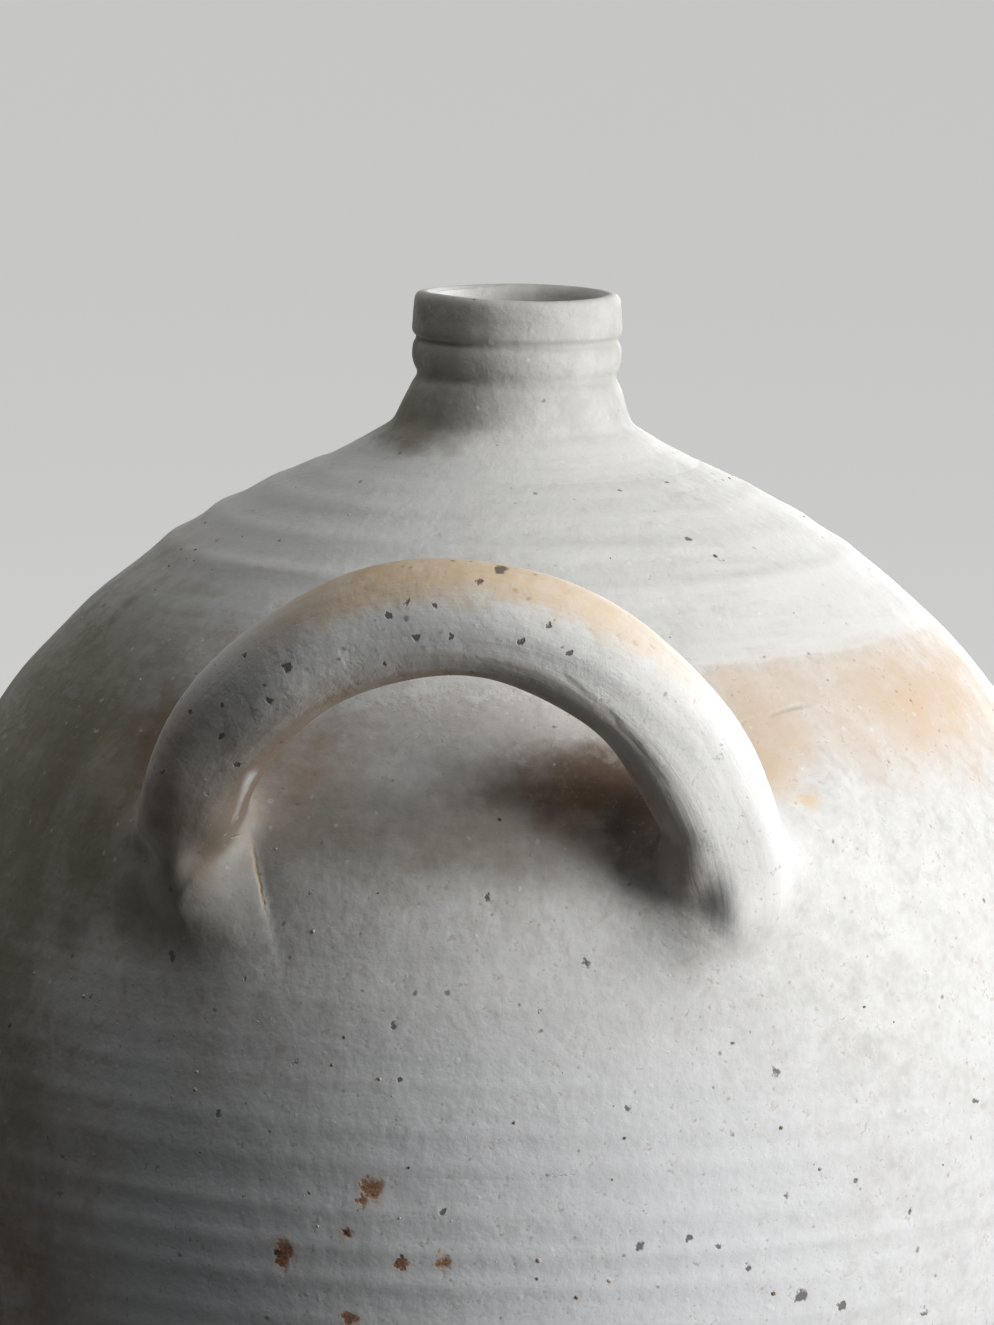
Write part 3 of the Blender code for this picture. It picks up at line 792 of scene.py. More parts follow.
def crumb_tree(material):
    """Node tree that sets a small pebble, half sunk and turned at random, on each vertex."""
    kinds = {"Flatness": "NodeSocketFloat", "Seed": "NodeSocketInt"}
    sizes = [(name, kind, CRUMB_SHAPE[name]) for name, kind in kinds.items()]
    bench, seats, (flatness, seed) = shaping_tree("strew_crumbs", sizes)
    pebble = bench.node("GeometryNodeMeshUVSphere", None, {"Segments": 7, "Rings": 5, "Radius": 1.0})
    outward, size = kept_number(bench, "outward", "FLOAT_VECTOR"), kept_number(bench, "size")

    def by_chance(low, high, seed):
        sockets = {0: low, 1: high, "Seed": seed}
        return bench.node("FunctionNodeRandomValue", {"data_type": "FLOAT_VECTOR"}, sockets)

    spin = by_chance((0.0, 0.0, 0.0), (0.0, 0.0, TAU), seed)
    sockets = {"Rotation": spin, "Vector": outward}
    turned = bench.node("FunctionNodeAlignEulerToVector", {"axis": "Z"}, sockets)
    flat = bench.node("ShaderNodeCombineXYZ", None, {0: size, 1: size, 2: size * flatness})
    shape = bench.vector("MULTIPLY", by_chance((0.7, 0.5, 0.5), (1.2, 1.0, 1.0), seed + 1.0), flat)
    sockets = {"Points": seats, "Instance": pebble, "Rotation": turned, "Scale": shape}
    return finish_shape(bench, bench.node("GeometryNodeInstanceOnPoints", None, sockets), material)


# Glaze: what the kiln left on the clay, and the shade and light painted into it


def rgb(red, green, blue):
    return (red, green, blue, 1.0)


GREY = rgb(0.70, 0.697, 0.685)
COOL_GREY = rgb(0.68, 0.685, 0.69)
DEEP_GREY = rgb(0.49, 0.48, 0.455)
SMOKE_AND_SHADE_GREY = rgb(0.33, 0.305, 0.26)
SLIP = rgb(0.70, 0.695, 0.675)
# Paler than the wall's slip; part of the extra paleness is painted light on the handle's coil
PULLED_SLIP_AND_PAINTED_LIGHT = rgb(0.82, 0.815, 0.80)
WHITE = rgb(0.80, 0.80, 0.79)
COOL_WHITE = rgb(0.79, 0.80, 0.825)
PEACH = rgb(0.63, 0.48, 0.35)
AMBER = rgb(0.69, 0.48, 0.265)
TOAST_AND_SHADE_BROWN = rgb(0.38, 0.27, 0.19)
# Brown used only for painted shade on the handle's left leg
LEG_SHADE_BROWN = rgb(0.21, 0.168, 0.13)
OLIVE = rgb(0.15, 0.14, 0.09)
# Dark brown of painted shade and shadow, in places over the clay's own brown
DARK_SHADE_BROWN = rgb(0.14, 0.09, 0.058)
RUST = rgb(0.50, 0.20, 0.06)
DEEP_RUST = rgb(0.16, 0.05, 0.02)
IRON_AND_SHADOW_BLACK = rgb(0.05, 0.038, 0.03)
BARE_CLAY = rgb(0.43, 0.36, 0.28)
FIRED_CLAY = rgb(0.33, 0.24, 0.17)
IRON_CRUMB = rgb(0.16, 0.12, 0.09)
PALE_CRUMB = rgb(0.6, 0.57, 0.52)

# Flushes of the fire in the glaze, and patches of painted shade: middle and reach in millimetres, colour and
# strength
FLUSHES_AND_PAINTED_SHADE = (
    ((140, -62, 358), (72, 60, 20), PEACH, 0.75),
    ((140, -70, 362), (26, 26, 13), PEACH, 0.6),
    ((84, -120, 352), (14, 16, 14), PEACH, 0.8),
    ((66, -112, 366), (44, 26, 10), PEACH, 0.55),
    ((4, -132, 362), (48, 26, 11), TOAST_AND_SHADE_BROWN, 0.25),
    ((-52, -146, 346), (22, 24, 20), TOAST_AND_SHADE_BROWN, 0.7),
    # Painted shade and shadow of the handle on the wall inside its loop, darkest in the corner by the right
    # leg; the next five patches also carry some of the wall's own brown there
    ((0, -165, 327), (54, 26, 13), SMOKE_AND_SHADE_GREY, 0.8),
    ((-30, -163, 331), (34, 22, 13), SMOKE_AND_SHADE_GREY, 0.5),
    ((38, -150, 340), (30, 22, 17), TOAST_AND_SHADE_BROWN, 0.7),
    ((38, -152, 341), (34, 20, 10), DARK_SHADE_BROWN, 0.95),
    ((52, -157, 333), (13, 15, 17), IRON_AND_SHADOW_BLACK, 0.95),
    ((20, -190, 212), (130, 70, 72), COOL_WHITE, 0.8),
    ((-72, -168, 200), (34, 40, 30), COOL_WHITE, 0.8),
    # Brown and olive on the left leg and root: partly the glaze's own tint, partly painted shade on the side
    # away from the window lamp
    ((-92, -160, 350), (30, 46, 44), TOAST_AND_SHADE_BROWN, 0.65),
    ((-92, -160, 306), (30, 34, 26), OLIVE, 0.5),
    ((-66, -160, 314), (16, 16, 16), SMOKE_AND_SHADE_GREY, 0.5),
    # Olive and dark brown down the jar's left side: partly the glaze's own tint, partly painted shade on the
    # side away from the window lamp
    ((-138, -95, 340), (62, 66, 58), OLIVE, 1.0),
    ((-160, -50, 345), (50, 76, 50), OLIVE, 0.95),
    ((-146, -122, 196), (48, 62, 58), DARK_SHADE_BROWN, 0.95),
    ((-165, -90, 260), (44, 66, 80), OLIVE, 0.95),
    ((-116, -128, 326), (46, 44, 32), OLIVE, 0.85),
    ((-140, -112, 262), (40, 50, 50), OLIVE, 0.75),
    ((150, 90, 330), (60, 60, 42), PEACH, 0.6),
    ((-60, 160, 300), (70, 50, 40), OLIVE, 0.5),
    ((40, 178, 236), (80, 40, 44), TOAST_AND_SHADE_BROWN, 0.35),
    ((150, 90, 170), (50, 60, 50), TOAST_AND_SHADE_BROWN, 0.25),
)
# Flushes, and patches of painted shade and highlight, that show in the slip over the jar's top as well
SLIP_FLUSHES_AND_PAINTED_LIGHT = (
    ((-110, -20, 392), (26, 46, 10), TOAST_AND_SHADE_BROWN, 0.35),
    # Olive on the neck's left: partly the glaze's own streaks, partly painted shade on its unlit side
    ((-27, -18, 432), (17, 26, 11), OLIVE, 0.9),
    ((-33, -8, 452), (11, 28, 26), OLIVE, 0.85),
    ((-24, -24, 432), (14, 20, 9), OLIVE, 0.7),
    # Painted shadow in the loop's corner by the handle's right leg
    ((50, -153, 336), (8, 10, 12), IRON_AND_SHADOW_BLACK, 0.9),
    # Dark brown beside the left leg's outer foot: partly the clay's own brown, partly painted shade
    ((-93, -120, 347), (11, 26, 28), DARK_SHADE_BROWN, 0.9),
    # Grey in the neck's lower groove on its left: partly the glaze's own grey, partly painted shade
    ((-16, -27, 443.5), (9, 9, 2), SMOKE_AND_SHADE_GREY, 0.7),
    ((-22, 6, 467), (11, 20, 5), WHITE, 1.0),
    # Olive on the shoulder's left: partly the glaze's own tint, partly painted shade
    ((-132, -62, 366), (54, 70, 30), OLIVE, 0.9),
    # Painted highlight: a small white glint at the left leg's outer foot
    ((-113.3, -102.9, 346.8), (3, 3.4, 1.3), WHITE, 0.9),
    # Painted shade over the left root's crest, where the window lamp catches it
    ((-77, -167, 316), (11, 15, 26), SMOKE_AND_SHADE_GREY, 1.0),
    ((-76.5, -170.5, 328), (14, 14, 14), DARK_SHADE_BROWN, 0.75),
    # Painted shadow on the wall inside the loop, kept dark through the slip
    ((38, -150, 344), (26, 17, 9), DARK_SHADE_BROWN, 0.7),
    # Painted shade on the right leg's inner face near its foot
    ((56, -162, 333), (9, 13, 18), DARK_SHADE_BROWN, 0.85),
    # Grey on the neck's left, above and below: partly the glaze's own grey, partly painted shade
    ((-18, -26, 462), (24, 15, 14), SMOKE_AND_SHADE_GREY, 0.5),
    ((-20, -28, 436), (22, 18, 12), SMOKE_AND_SHADE_GREY, 0.35),
    ((-66, -164, 315), (14, 15, 17), DEEP_GREY, 0.9),
    # Brown on the right leg's inner side near its foot: partly the clay's own tint, partly painted shade
    ((67, -172, 320), (7, 9, 6), TOAST_AND_SHADE_BROWN, 0.7),
    ((93.5, -129.4, 337.4), (5, 5, 2.4), AMBER, 0.9),
    ((84, -133, 348), (9, 9, 12), PEACH, 0.9),
    ((-8.5, -194, 390), (6, 5, 2.6), AMBER, 0.8),
    ((-37.8, -187.6, 371.5), (3, 4, 3), AMBER, 0.9),
    ((41.6, -188.3, 372.5), (4, 5, 3), AMBER, 0.8),
)
# Single marks: middle and radius in millimetres
RUST_BLOTCHES = (
    (-19.7, -187.9, 232, 4.2), (-22.5, -187.7, 228, 2.6), (-45.8, -182.7, 212.4, 3.6),
    (-46.1, -182.5, 208.6, 3), (0, -188.3, 211.6, 3.2), (-26.5, -185.1, 193.9, 2.6),
    (-28.2, -186.6, 218.5, 2.6), (-12, -187.9, 211.5, 2.2),
)
IRON_PITS = (
    (10.3, -172.2, 313.9, 1.8), (-48.1, -162.9, 319.3, 1.4), (-40.9, -167.7, 313.5, 1.4),
    (-65.6, -176.7, 249.6, 1.7), (-58.4, -179.1, 250, 1.2), (-43, -181.6, 266.7, 1.6),
    (-59.2, -171.8, 288.6, 1.5), (91.8, -162.8, 264.6, 1.8), (51.2, -180.8, 256.6, 1.7),
    (95.5, -163, 229.2, 1.4), (100.6, -158.3, 198.9, 2.2), (0, -188.8, 226.9, 1.3),
    (49.7, -34.5, 417.3, 1.2), (58.9, -64.6, 403.8, 1.4), (92.4, -127, 341, 1.6), (-107, -151, 277, 2),
    (-28.2, -186.5, 218.7, 1.6), (-11.8, -188.1, 213.4, 1.2), (-48, -182, 211.6, 1.5),
    (-5.5, -31.7, 460.5, 1.4), (18.3, -26.4, 461, 1.2), (105.6, -90.4, 363.7, 1),
    (121.5, -72.1, 361.2, 1.1), (118.4, -91.8, 351, 1), (-38.2, -178.5, 285.4, 1.4),
    (-13.5, -187.7, 252.6, 1), (-13.3, -186.5, 263.8, 1.2), (-56.4, -177.1, 270.7, 1),
    (-51.4, -178.4, 272, 0.9), (-57.8, -179.8, 227.1, 1.6), (-81.5, -161.4, 291.6, 2),
    (-72.7, -163.3, 298.1, 1.6), (55.4, -180.3, 217, 1.7), (69.2, -175.5, 218.4, 1.4),
    (77.5, -171.9, 216.1, 1.3), (111.8, -150.1, 194.4, 1.6), (130.2, -136.6, 219.8, 1.2),
    (148.4, -116.3, 248.7, 1.4), (115.2, -149.8, 230.8, 1.1), (135.2, -128.4, 188, 1.7),
    (85.4, -167.7, 209, 1.3), (79.7, -167.3, 273.8, 1.1), (91.2, -153.1, 299.6, 1.1),
    (99.1, -146.7, 302.8, 1.5), (100, -144.4, 306.4, 1.6), (38.5, -175.1, 296.3, 1.6),
    (26, -181.3, 283.3, 1.1), (32.1, -183.8, 266.6, 1.2), (-15.2, -183.6, 278.6, 1.7),
    (-124.9, -140, 259.4, 1.9), (-114.3, -150.4, 229, 1.9), (-114.9, -149.6, 218.1, 1.8),
    (-102.9, -158.2, 220.8, 1.5), (12.9, -186.4, 409, 2.6), (7.8, -190.8, 406.3, 1.6),
    (-4.5, -194.2, 399.5, 1.1), (-12.8, -192.9, 400.7, 1), (-17.6, -193.5, 395.9, 1.3),
    (-9.4, -194.5, 390.7, 1.2), (-18.4, -191.8, 382.2, 1.1), (0.1, -195.1, 391.1, 1),
    (19.8, -194.6, 390.4, 1.2), (-45.7, -190.3, 380.3, 1.6), (-51.4, -188.2, 370.3, 1.5),
    (-64.8, -183.2, 359.5, 1.1), (-60.6, -180.5, 350.4, 1.1), (-74.4, -179.5, 365.5, 1.1),
    (-64.5, -184.3, 367.9, 1.1), (-82.4, -175.2, 346.9, 1.1), (-58.1, -185, 382.6, 1.1),
    (33.3, -192.6, 387.2, 1.1), (27.1, -193.3, 394.7, 1.1),
)
# Scratches, smears and cracks, and lines of painted highlight on the left leg and root: both ends, half width
# and depth in millimetres, with the tint and its strength
SCRATCHES_AND_PAINTED_HIGHLIGHTS = (
    ((68, -129, 354.5), (100, -99, 362.2), 1.6, 0.4, DEEP_GREY, 0.6),
    ((91.6, -130.5, 337.8), (106.5, -116.5, 340.4), 0.9, 0.12, AMBER, 0.7),
    ((27.3, -187, 236.2), (47.2, -183, 238.9), 0.5, 0.2, DEEP_GREY, 0.5),
    # Amber line along the left root's pared edge, with a shallow groove: its colour partly paints the lit rim
    # of the edge's lip
    ((-59.5, -155.5, 326.5), (-52, -169.6, 302), 0.9, 0.2, AMBER, 0.6),
    # Painted highlight: a pale, flat crescent down the left leg's inner side, where it catches the light
    ((-55.6, -178, 350), (-61.6, -167, 328.8), 3.2, 0.0, WHITE, 0.85),
    ((-67.5, -167, 327.2), (-58.5, -156, 327.6), 0.6, 0.4, DEEP_GREY, 0.7),
    ((-75, -164, 311), (-70, -165.5, 303), 0.5, 0.3, WHITE, 0.5),
    ((29.2, -192.3, 382.6), (50, -187.9, 365.7), 1.7, 0.16, SMOKE_AND_SHADE_GREY, 0.35),
    ((43.1, -190, 373.1), (60.6, -181.9, 347.7), 1.7, 0.14, SMOKE_AND_SHADE_GREY, 0.3),
    ((58.2, -183.5, 352.6), (66.8, -176.1, 329.9), 1.5, 0.06, SMOKE_AND_SHADE_GREY, 0.2),
    ((24.9, -189.1, 375.8), (41.3, -182, 362.6), 0.8, 0.15, TOAST_AND_SHADE_BROWN, 0.4),
    ((-52, -169.6, 302), (-48.5, -172, 297), 0.8, 0.2, DEEP_GREY, 0.5),
)


# How far out each flush and painted patch fades, in shares of its reach, and what the slip and the darkening
# over the neck keep to, in metres
PATCH_FADE = (1.6, 0.2)
GLAZE_GLOSS = 0.24
SLIP_EDGE = 0.3733
NECK_GROOVES = ((0.4558, 0.0022, 0.0004), (0.4446, 0.003, 0.0006))
NECK_FOOT = (0.424, 0.434)
ROUGH_NECK_FROM = (0.424, 0.432)
PIT_TOUCH = 0.004


class Glaze(Bench):
    """Nodes of one stoneware finish, worked out from places on the jar."""

    def __init__(self, name):
        self.material = bpy.data.materials.new(name)
        super().__init__(shading_tree(self.material))
        self.place = self.node("ShaderNodeTexCoord", output="Object")
        self.across = self.node("ShaderNodeSeparateXYZ", None, {0: self.place})
        self.height = self.out(self.across, "Z")
        self.drift = self.vector("SUBTRACT", self.noise(60.0, detail=4.0, output="Color"), (0.5, 0.5, 0.5))
        self.crumble = self.vector("SUBTRACT", self.noise(520.0, detail=2.0, output="Color"), (0.5, 0.5, 0.5))

    def moved(self, amount):
        """Places shifted by noise, which makes the outlines of marks ragged."""
        return self.vector("ADD", self.place, self.scaled(self.drift, amount))

    def crumbled(self, amount, fine):
        """Places shifted a little as a whole and much more at the scale of a grain."""
        return self.vector("ADD", self.moved(amount), self.scaled(self.crumble, fine))

    def noise(self, scale, vector=None, detail=3.0, rough=0.55, output=0):
        sockets = {"Vector": vector or self.place, "Scale": scale, "Detail": detail, "Roughness": rough}
        return self.node("ShaderNodeTexNoise", None, sockets, output)

    def level_noise(self, scale, flatness, detail=4.0, rough=0.55):
        """Noise drawn out along the wheel's turn."""
        return self.noise(scale, self.vector("MULTIPLY", self.place, (1.0, 1.0, flatness)), detail, rough)

    def between(self, value, low, high):
        """Smooth step from 0 at low to 1 at high. Where low is the larger one, it falls."""
        sockets = {0: value, 1: min(low, high), 2: max(low, high), 3: float(low > high), 4: float(low < high)}
        return self.node("ShaderNodeMapRange", {"interpolation_type": "SMOOTHSTEP"}, sockets)

    def mixed(self, share, first, second):
        return self.node("ShaderNodeMix", {"data_type": "RGBA"}, {0: share, 6: first, 7: second}, 2)

    def flushed(self, colour, flushes, places, patchy):
        """A colour with egg-shaped patches over it, flushes of the fire and patches of painted light, each
        full at its middle and gone past its reach.
        """
        for middle, reach, tint, strength in flushes:
            away = self.vector("SUBTRACT", places, tuple(value * MM for value in middle))
            away = self.vector("MULTIPLY", away, tuple(1.0 / (value * MM) for value in reach))
            share = self.between(self.vector("LENGTH", away, output="Value"), *PATCH_FADE)
            colour = self.mixed(share * patchy * strength, colour, tint)
        return colour

    def marks(self, places, spots):
        """How deep places lie in the nearest of some round spots: 1 at a middle and 0 at a rim."""
        depth = None
        for x, y, z, radius in spots:
            away = self.vector("DISTANCE", places, (x * MM, y * MM, z * MM), output="Value")
            inside = away.maths("MULTIPLY_ADD", -1.0 / (radius * MM), 1.0)
            depth = depth.maths("MAXIMUM", inside) if depth else inside
        return depth

    def scratch(self, places, start, end, width):
        """1 on the line between two places and 0 at a width from it."""
        start, end = np.array(start) * MM, np.array(end) * MM
        way = end - start
        from_start = self.vector("SUBTRACT", places, tuple(start))
        share = self.vector("DOT_PRODUCT", from_start, tuple(way / (way @ way)), output="Value")
        share = share.maths("MAXIMUM", 0.0).maths("MINIMUM", 1.0)
        away = self.vector("DISTANCE", from_start, self.scaled(tuple(way), share), output="Value")
        return self.between(away, width * MM, 0.0) * self.between((share - 0.5).maths("ABSOLUTE"), 0.5, 0.3)

    def specks(self, scale, share, size, channel, soft=0.5):
        """Scattered ragged marks: scale of their cells, share of cells that hold one, and size within one."""
        sockets = {"Vector": self.crumbled(0.003, 0.0014), "Scale": scale}
        away = self.node("ShaderNodeTexVoronoi", None, sockets)
        luck = self.node("ShaderNodeSeparateColor", None, {0: self.out(away, "Color")}, channel)
        other = self.out(luck, ("Green", "Blue", "Red")[channel])
        radius = (other * 0.7 + 0.3) * size
        return luck.maths("GREATER_THAN", 1.0 - share) * self.between(radius - away, 0.0, size * soft)

    def finished(self, colour, roughness, relief):
        """The material, from its colour, its roughness and its relief in millimetres."""
        bump = self.node("ShaderNodeBump", None, {"Height": relief, "Distance": MM, "Strength": 1.0})
        sockets = {"Base Color": colour, "Roughness": roughness, "Normal": bump}
        sockets["Specular IOR Level"] = GLAZE_GLOSS
        shader = self.node("ShaderNodeBsdfPrincipled", None, sockets)
        self.node("ShaderNodeOutputMaterial", None, {"Surface": shader})
        return self.material


def pits_on(gap):
    """The iron pits that lie on a surface, given the distance from it."""
    places = np.array(IRON_PITS)[:, :3] * MM
    return [spot for spot, away in zip(IRON_PITS, gap(places)) if abs(away) < PIT_TOUCH]


class FiredWall(Glaze):
    """The wall's finish, from the patterns that its colour, its roughness and its relief share."""

    def __init__(self, name, pit_spots):
        super().__init__(name)
        self.clouds = self.noise(9.0, self.moved(0.03), detail=5.0)
        self.mottle = self.between(self.noise(62.0, detail=6.0, rough=0.68), 0.36, 0.64)
        self.rings = self.level_noise(7.0, 14.0)
        self.brushing = self.level_noise(26.0, 12.0, rough=0.6)
        self.peel = self.noise(260.0, detail=3.0, rough=0.6)
        self.grain = self.noise(900.0, detail=3.0, rough=0.65)
        self.ragged = self.moved(0.022)
        self.slipped = self.slip_cover()
        self.flecks = self.specks(260.0, 0.2, 0.3, 0)
        self.iron = self.specks(125.0, 0.8, 0.14, 1, 0.7)
        self.rust_depth = self.marks(self.crumbled(0.006, 0.004), RUST_BLOTCHES) + (self.peel - 0.5) * 1.6
        self.rust = self.between(self.rust_depth, 0.0, 0.5)
        pit_depth = self.marks(self.crumbled(0.003, 0.003), pit_spots) + (self.peel - 0.5) * 0.8
        self.pits = self.between(pit_depth, 0.0, 0.45)
        places = self.crumbled(0.003, 0.0008)
        self.scratches_and_highlights = [
            (self.scratch(places, start, end, width), depth, tint, strength)
            for start, end, width, depth, tint, strength in SCRATCHES_AND_PAINTED_HIGHLIGHTS
        ]

    def slip_cover(self):
        """How far slip covers the jar's top. Its edge is clear on the right and worn elsewhere."""
        on_right = self.between(self.across, 0.03, 0.08)
        above = self.height - SLIP_EDGE + (self.clouds - 0.5) * 0.006 + (self.brushing - 0.5) * 0.003
        clear_edge = self.between(above, -0.0005, 0.0006) * on_right
        worn = above + (self.mottle - 0.5) * 0.03 + (self.clouds - 0.5) * 0.1
        return clear_edge.maths("MAXIMUM", self.between(worn, -0.01, 0.006) * (1.0 - on_right))

    def ground(self):
        """Colour of the glaze, with what the fire flushed into it, and painted shade in the handle's loop and
        down the jar's left side.
        """
        # The stains and smudges grow stronger towards the jar's left: partly the glaze's own, partly painted
        # shade on the side away from the window lamp
        left_side_stain_and_shade = self.between(self.across, 0.0, -0.13)
        colour = self.mixed(self.between(self.height, 0.32, 0.2), GREY, COOL_GREY)
        tone = self.between(self.clouds, 0.4, 0.66) * 0.24 + self.mottle * 0.3
        tone = tone + self.between(self.rings, 0.4, 0.65) * 0.05
        colour = self.mixed(tone + (self.peel - 0.5) * 1.3, colour, DEEP_GREY)
        stains = self.between(self.noise(19.0, self.ragged, detail=5.0), 0.48, 0.66) * self.mottle
        colour = self.mixed(stains * (left_side_stain_and_shade * 0.3 + 0.06), colour, TOAST_AND_SHADE_BROWN)
        smudges = self.between(self.noise(140.0, self.ragged, detail=4.0, rough=0.65), 0.54, 0.7)
        colour = self.mixed(smudges * (left_side_stain_and_shade * 0.25 + 0.22), colour, TOAST_AND_SHADE_BROWN)
        return self.flushed(colour, FLUSHES_AND_PAINTED_SHADE, self.ragged, self.mottle * 0.3 + self.brushing * 0.5 + 0.5)

    def slip_over(self, colour):
        """Slip over a colour on the jar's top, darker along the neck's grooves and over the neck, with the
        flushes and the painted shade and highlight that show through.
        """
        colour = self.mixed(self.slipped * (self.between(self.brushing, 0.3, 0.6) * 0.6 + 0.3), colour, SLIP)
        # Darker along the two grooves between the neck's bands and over the whole neck above its foot
        upper, lower = (
            self.between((self.height - height).maths("ABSOLUTE"), out, full)
            for height, out, full in NECK_GROOVES
        )
        neck_darkening = self.between(self.height, *NECK_FOOT) * (self.mottle * 0.4 + 0.55)
        colour = self.mixed(upper.maths("MAXIMUM", lower) * 0.3 + neck_darkening, colour, DEEP_GREY)
        return self.flushed(colour, SLIP_FLUSHES_AND_PAINTED_LIGHT, self.ragged, self.mottle * 0.4 + 0.6)

    def kiln_marks(self, colour):
        """Flecks, dust, rust and iron pits over a colour, and the scratched lines of later years, among which
        are lines of painted highlight.
        """
        colour = self.mixed(self.flecks * 0.35, colour, WHITE)
        dust = self.between(self.grain * 0.5 + self.peel * 0.5, 0.43, 0.34)
        colour = self.mixed(dust * (0.45 - self.slipped * 0.3), colour, TOAST_AND_SHADE_BROWN)
        colour = self.mixed(self.specks(75.0, 0.75, 0.13, 0, 1.2) * 0.45, colour, SMOKE_AND_SHADE_GREY)
        freckles = self.specks(240.0, 0.7, 0.19, 2, 0.8)
        colour = self.mixed(freckles * (0.6 - self.slipped * 0.4), colour, TOAST_AND_SHADE_BROWN)
        colour = self.mixed(self.between(self.rust_depth, -0.4, 0.4) * 0.4, colour, AMBER)
        rusty = self.mixed(self.between(self.grain, 0.42, 0.6), DEEP_RUST, RUST)
        colour = self.mixed(self.rust * 0.85, colour, rusty)
        colour = self.mixed((self.pits * 0.8).maths("MAXIMUM", self.iron * 0.65), colour, IRON_AND_SHADOW_BLACK)
        for line, _, tint, strength in self.scratches_and_highlights:
            colour = self.mixed(line * strength, colour, tint)
        return colour

    def relief(self):
        """Relief in millimetres. The neck is rougher than the wall."""
        lumps = self.noise(58.0, detail=3.0)
        relief = self.rings * 0.05 + self.brushing * 0.04 + lumps * 0.55 + self.peel * 0.2
        relief = relief + self.grain * 0.04 + self.slipped * 0.08
        rough_neck = self.between(self.height, *ROUGH_NECK_FROM) * self.noise(170.0, detail=4.0, rough=0.6)
        relief = relief + rough_neck * 0.42
        for line, depth, _, _ in self.scratches_and_highlights:
            relief = relief - line * depth
        return relief - self.pits * 0.15 - self.iron * 0.06 - self.rust * 0.1 + self.flecks * 0.05

    def roughness(self):
        return 0.44 + self.mottle * 0.08 + self.peel * 0.16 + self.rust * 0.2 + self.slipped * 0.04


def wall_glaze():
    """The wall's own glaze."""
    glaze = FiredWall("salt_glaze", pits_on(wall_gap))
    colour = glaze.kiln_marks(glaze.slip_over(glaze.ground()))
    return glaze.finished(colour, glaze.roughness(), glaze.relief())


def handle_glaze():
    """The wall's glaze, and on the coil the strokes of the hand that pulled it and the fire's orange edge,
    with painted light: a paler slip on the lit top and right leg, painted shade on the left leg, and partly
    painted shade on the side that faces into the arch.
    """
    glaze = FiredWall("pulled_handle_glaze", pits_on(handle_gap))
    on_coil = glaze.node("ShaderNodeAttribute", {"attribute_name": "coil_share"}, output="Fac")
    place = glaze.node("ShaderNodeAttribute", {"attribute_name": "coil_place"}, output="Vector")
    # Angle up the arch from its right foot, and 1 where the coil faces into the arch or to the front
    along = glaze.node("ShaderNodeSeparateXYZ", None, {0: place})
    inner, front = glaze.out(along, "Y"), glaze.out(along, "Z")
    strokes = glaze.noise(1.7, glaze.vector("MULTIPLY", place, (0.35, 2.0, 2.0)), detail=4.0, rough=0.6)
    mottle = glaze.between(glaze.noise(120.0, detail=5.0, rough=0.65), 0.35, 0.6)
    grooved = glaze.between(front, 0.1, 0.7) * glaze.between(inner, -0.2, 0.5)
    grooved = grooved * glaze.between(along, 1.9, 1.2) * on_coil

    colour = glaze.slip_over(glaze.ground())
    # The coil's top and right leg take a slip paler than the wall's; part of that paleness is painted light,
    # and the left leg keeps the wall's slip
    colour = glaze.mixed(on_coil * glaze.between(along, 2.6, 2.0) * 0.9, colour, PULLED_SLIP_AND_PAINTED_LIGHT)
    edge = glaze.between(inner + (mottle - 0.5) * 0.3 + (along - 1.5) * -0.2, -0.42, -1.05) * on_coil
    edge = edge * glaze.between((along - 1.5).maths("ABSOLUTE"), 0.95, 0.3)
    colour = glaze.mixed(edge * (mottle * 0.4 + 0.6), colour, AMBER)
    peppered = glaze.specks(190.0, 0.85, 0.32, 1, 1.0) * edge
    colour = glaze.mixed(peppered * 0.75, colour, RUST)
    # Brown on the side of the coil that faces into the arch: partly the clay's own tint, partly painted shade
    # under the arch
    inner_side_tint_and_shade = glaze.between(inner + (strokes - 0.5) * 0.6, 0.05, 0.8) * on_coil
    colour = glaze.mixed(inner_side_tint_and_shade * (mottle * 0.3 + 0.6), colour, TOAST_AND_SHADE_BROWN)
    # Painted shade: the left leg's front and inner side are darkened to brown, as if the lamps' light missed
    # them
    left_leg_painted_shade = glaze.between(inner + (mottle - 0.5) * 0.3, -0.35, 0.6) * glaze.between(along, 1.7, 2.4)
    colour = glaze.mixed(left_leg_painted_shade * glaze.between(on_coil, 0.0, 0.4) * 0.8, colour, LEG_SHADE_BROWN)
    colour = glaze.mixed(glaze.between(strokes, 0.54, 0.4) * on_coil * 0.12, colour, DEEP_GREY)
    colour = glaze.mixed(glaze.between(strokes, 0.52, 0.4) * grooved * 0.45, colour, DEEP_GREY)

    colour = glaze.kiln_marks(colour)
    burnt = glaze.specks(170.0, 0.8, 0.22, 2, 0.8) * on_coil * glaze.between(along, 1.0, 1.5)
    colour = glaze.mixed(burnt * 0.6, colour, IRON_AND_SHADOW_BLACK)
    relief = glaze.relief() + strokes * on_coil * 0.16 + strokes * grooved * 0.5
    return glaze.finished(colour, glaze.roughness(), relief)


def crumb_clay():
    """Fired crumbs: some pale like the slip, some brown with iron."""
    glaze = Glaze("stuck_crumbs")
    kind = glaze.between(glaze.noise(70.0, detail=2.0), 0.45, 0.52)
    grain = glaze.noise(1500.0, detail=3.0)
    colour = glaze.mixed(kind, IRON_CRUMB, PALE_CRUMB)
    colour = glaze.mixed(glaze.between(grain, 0.45, 0.6) * 0.5, colour, TOAST_AND_SHADE_BROWN)
    return glaze.finished(colour, 0.5 + grain * 0.3, grain * 0.15)


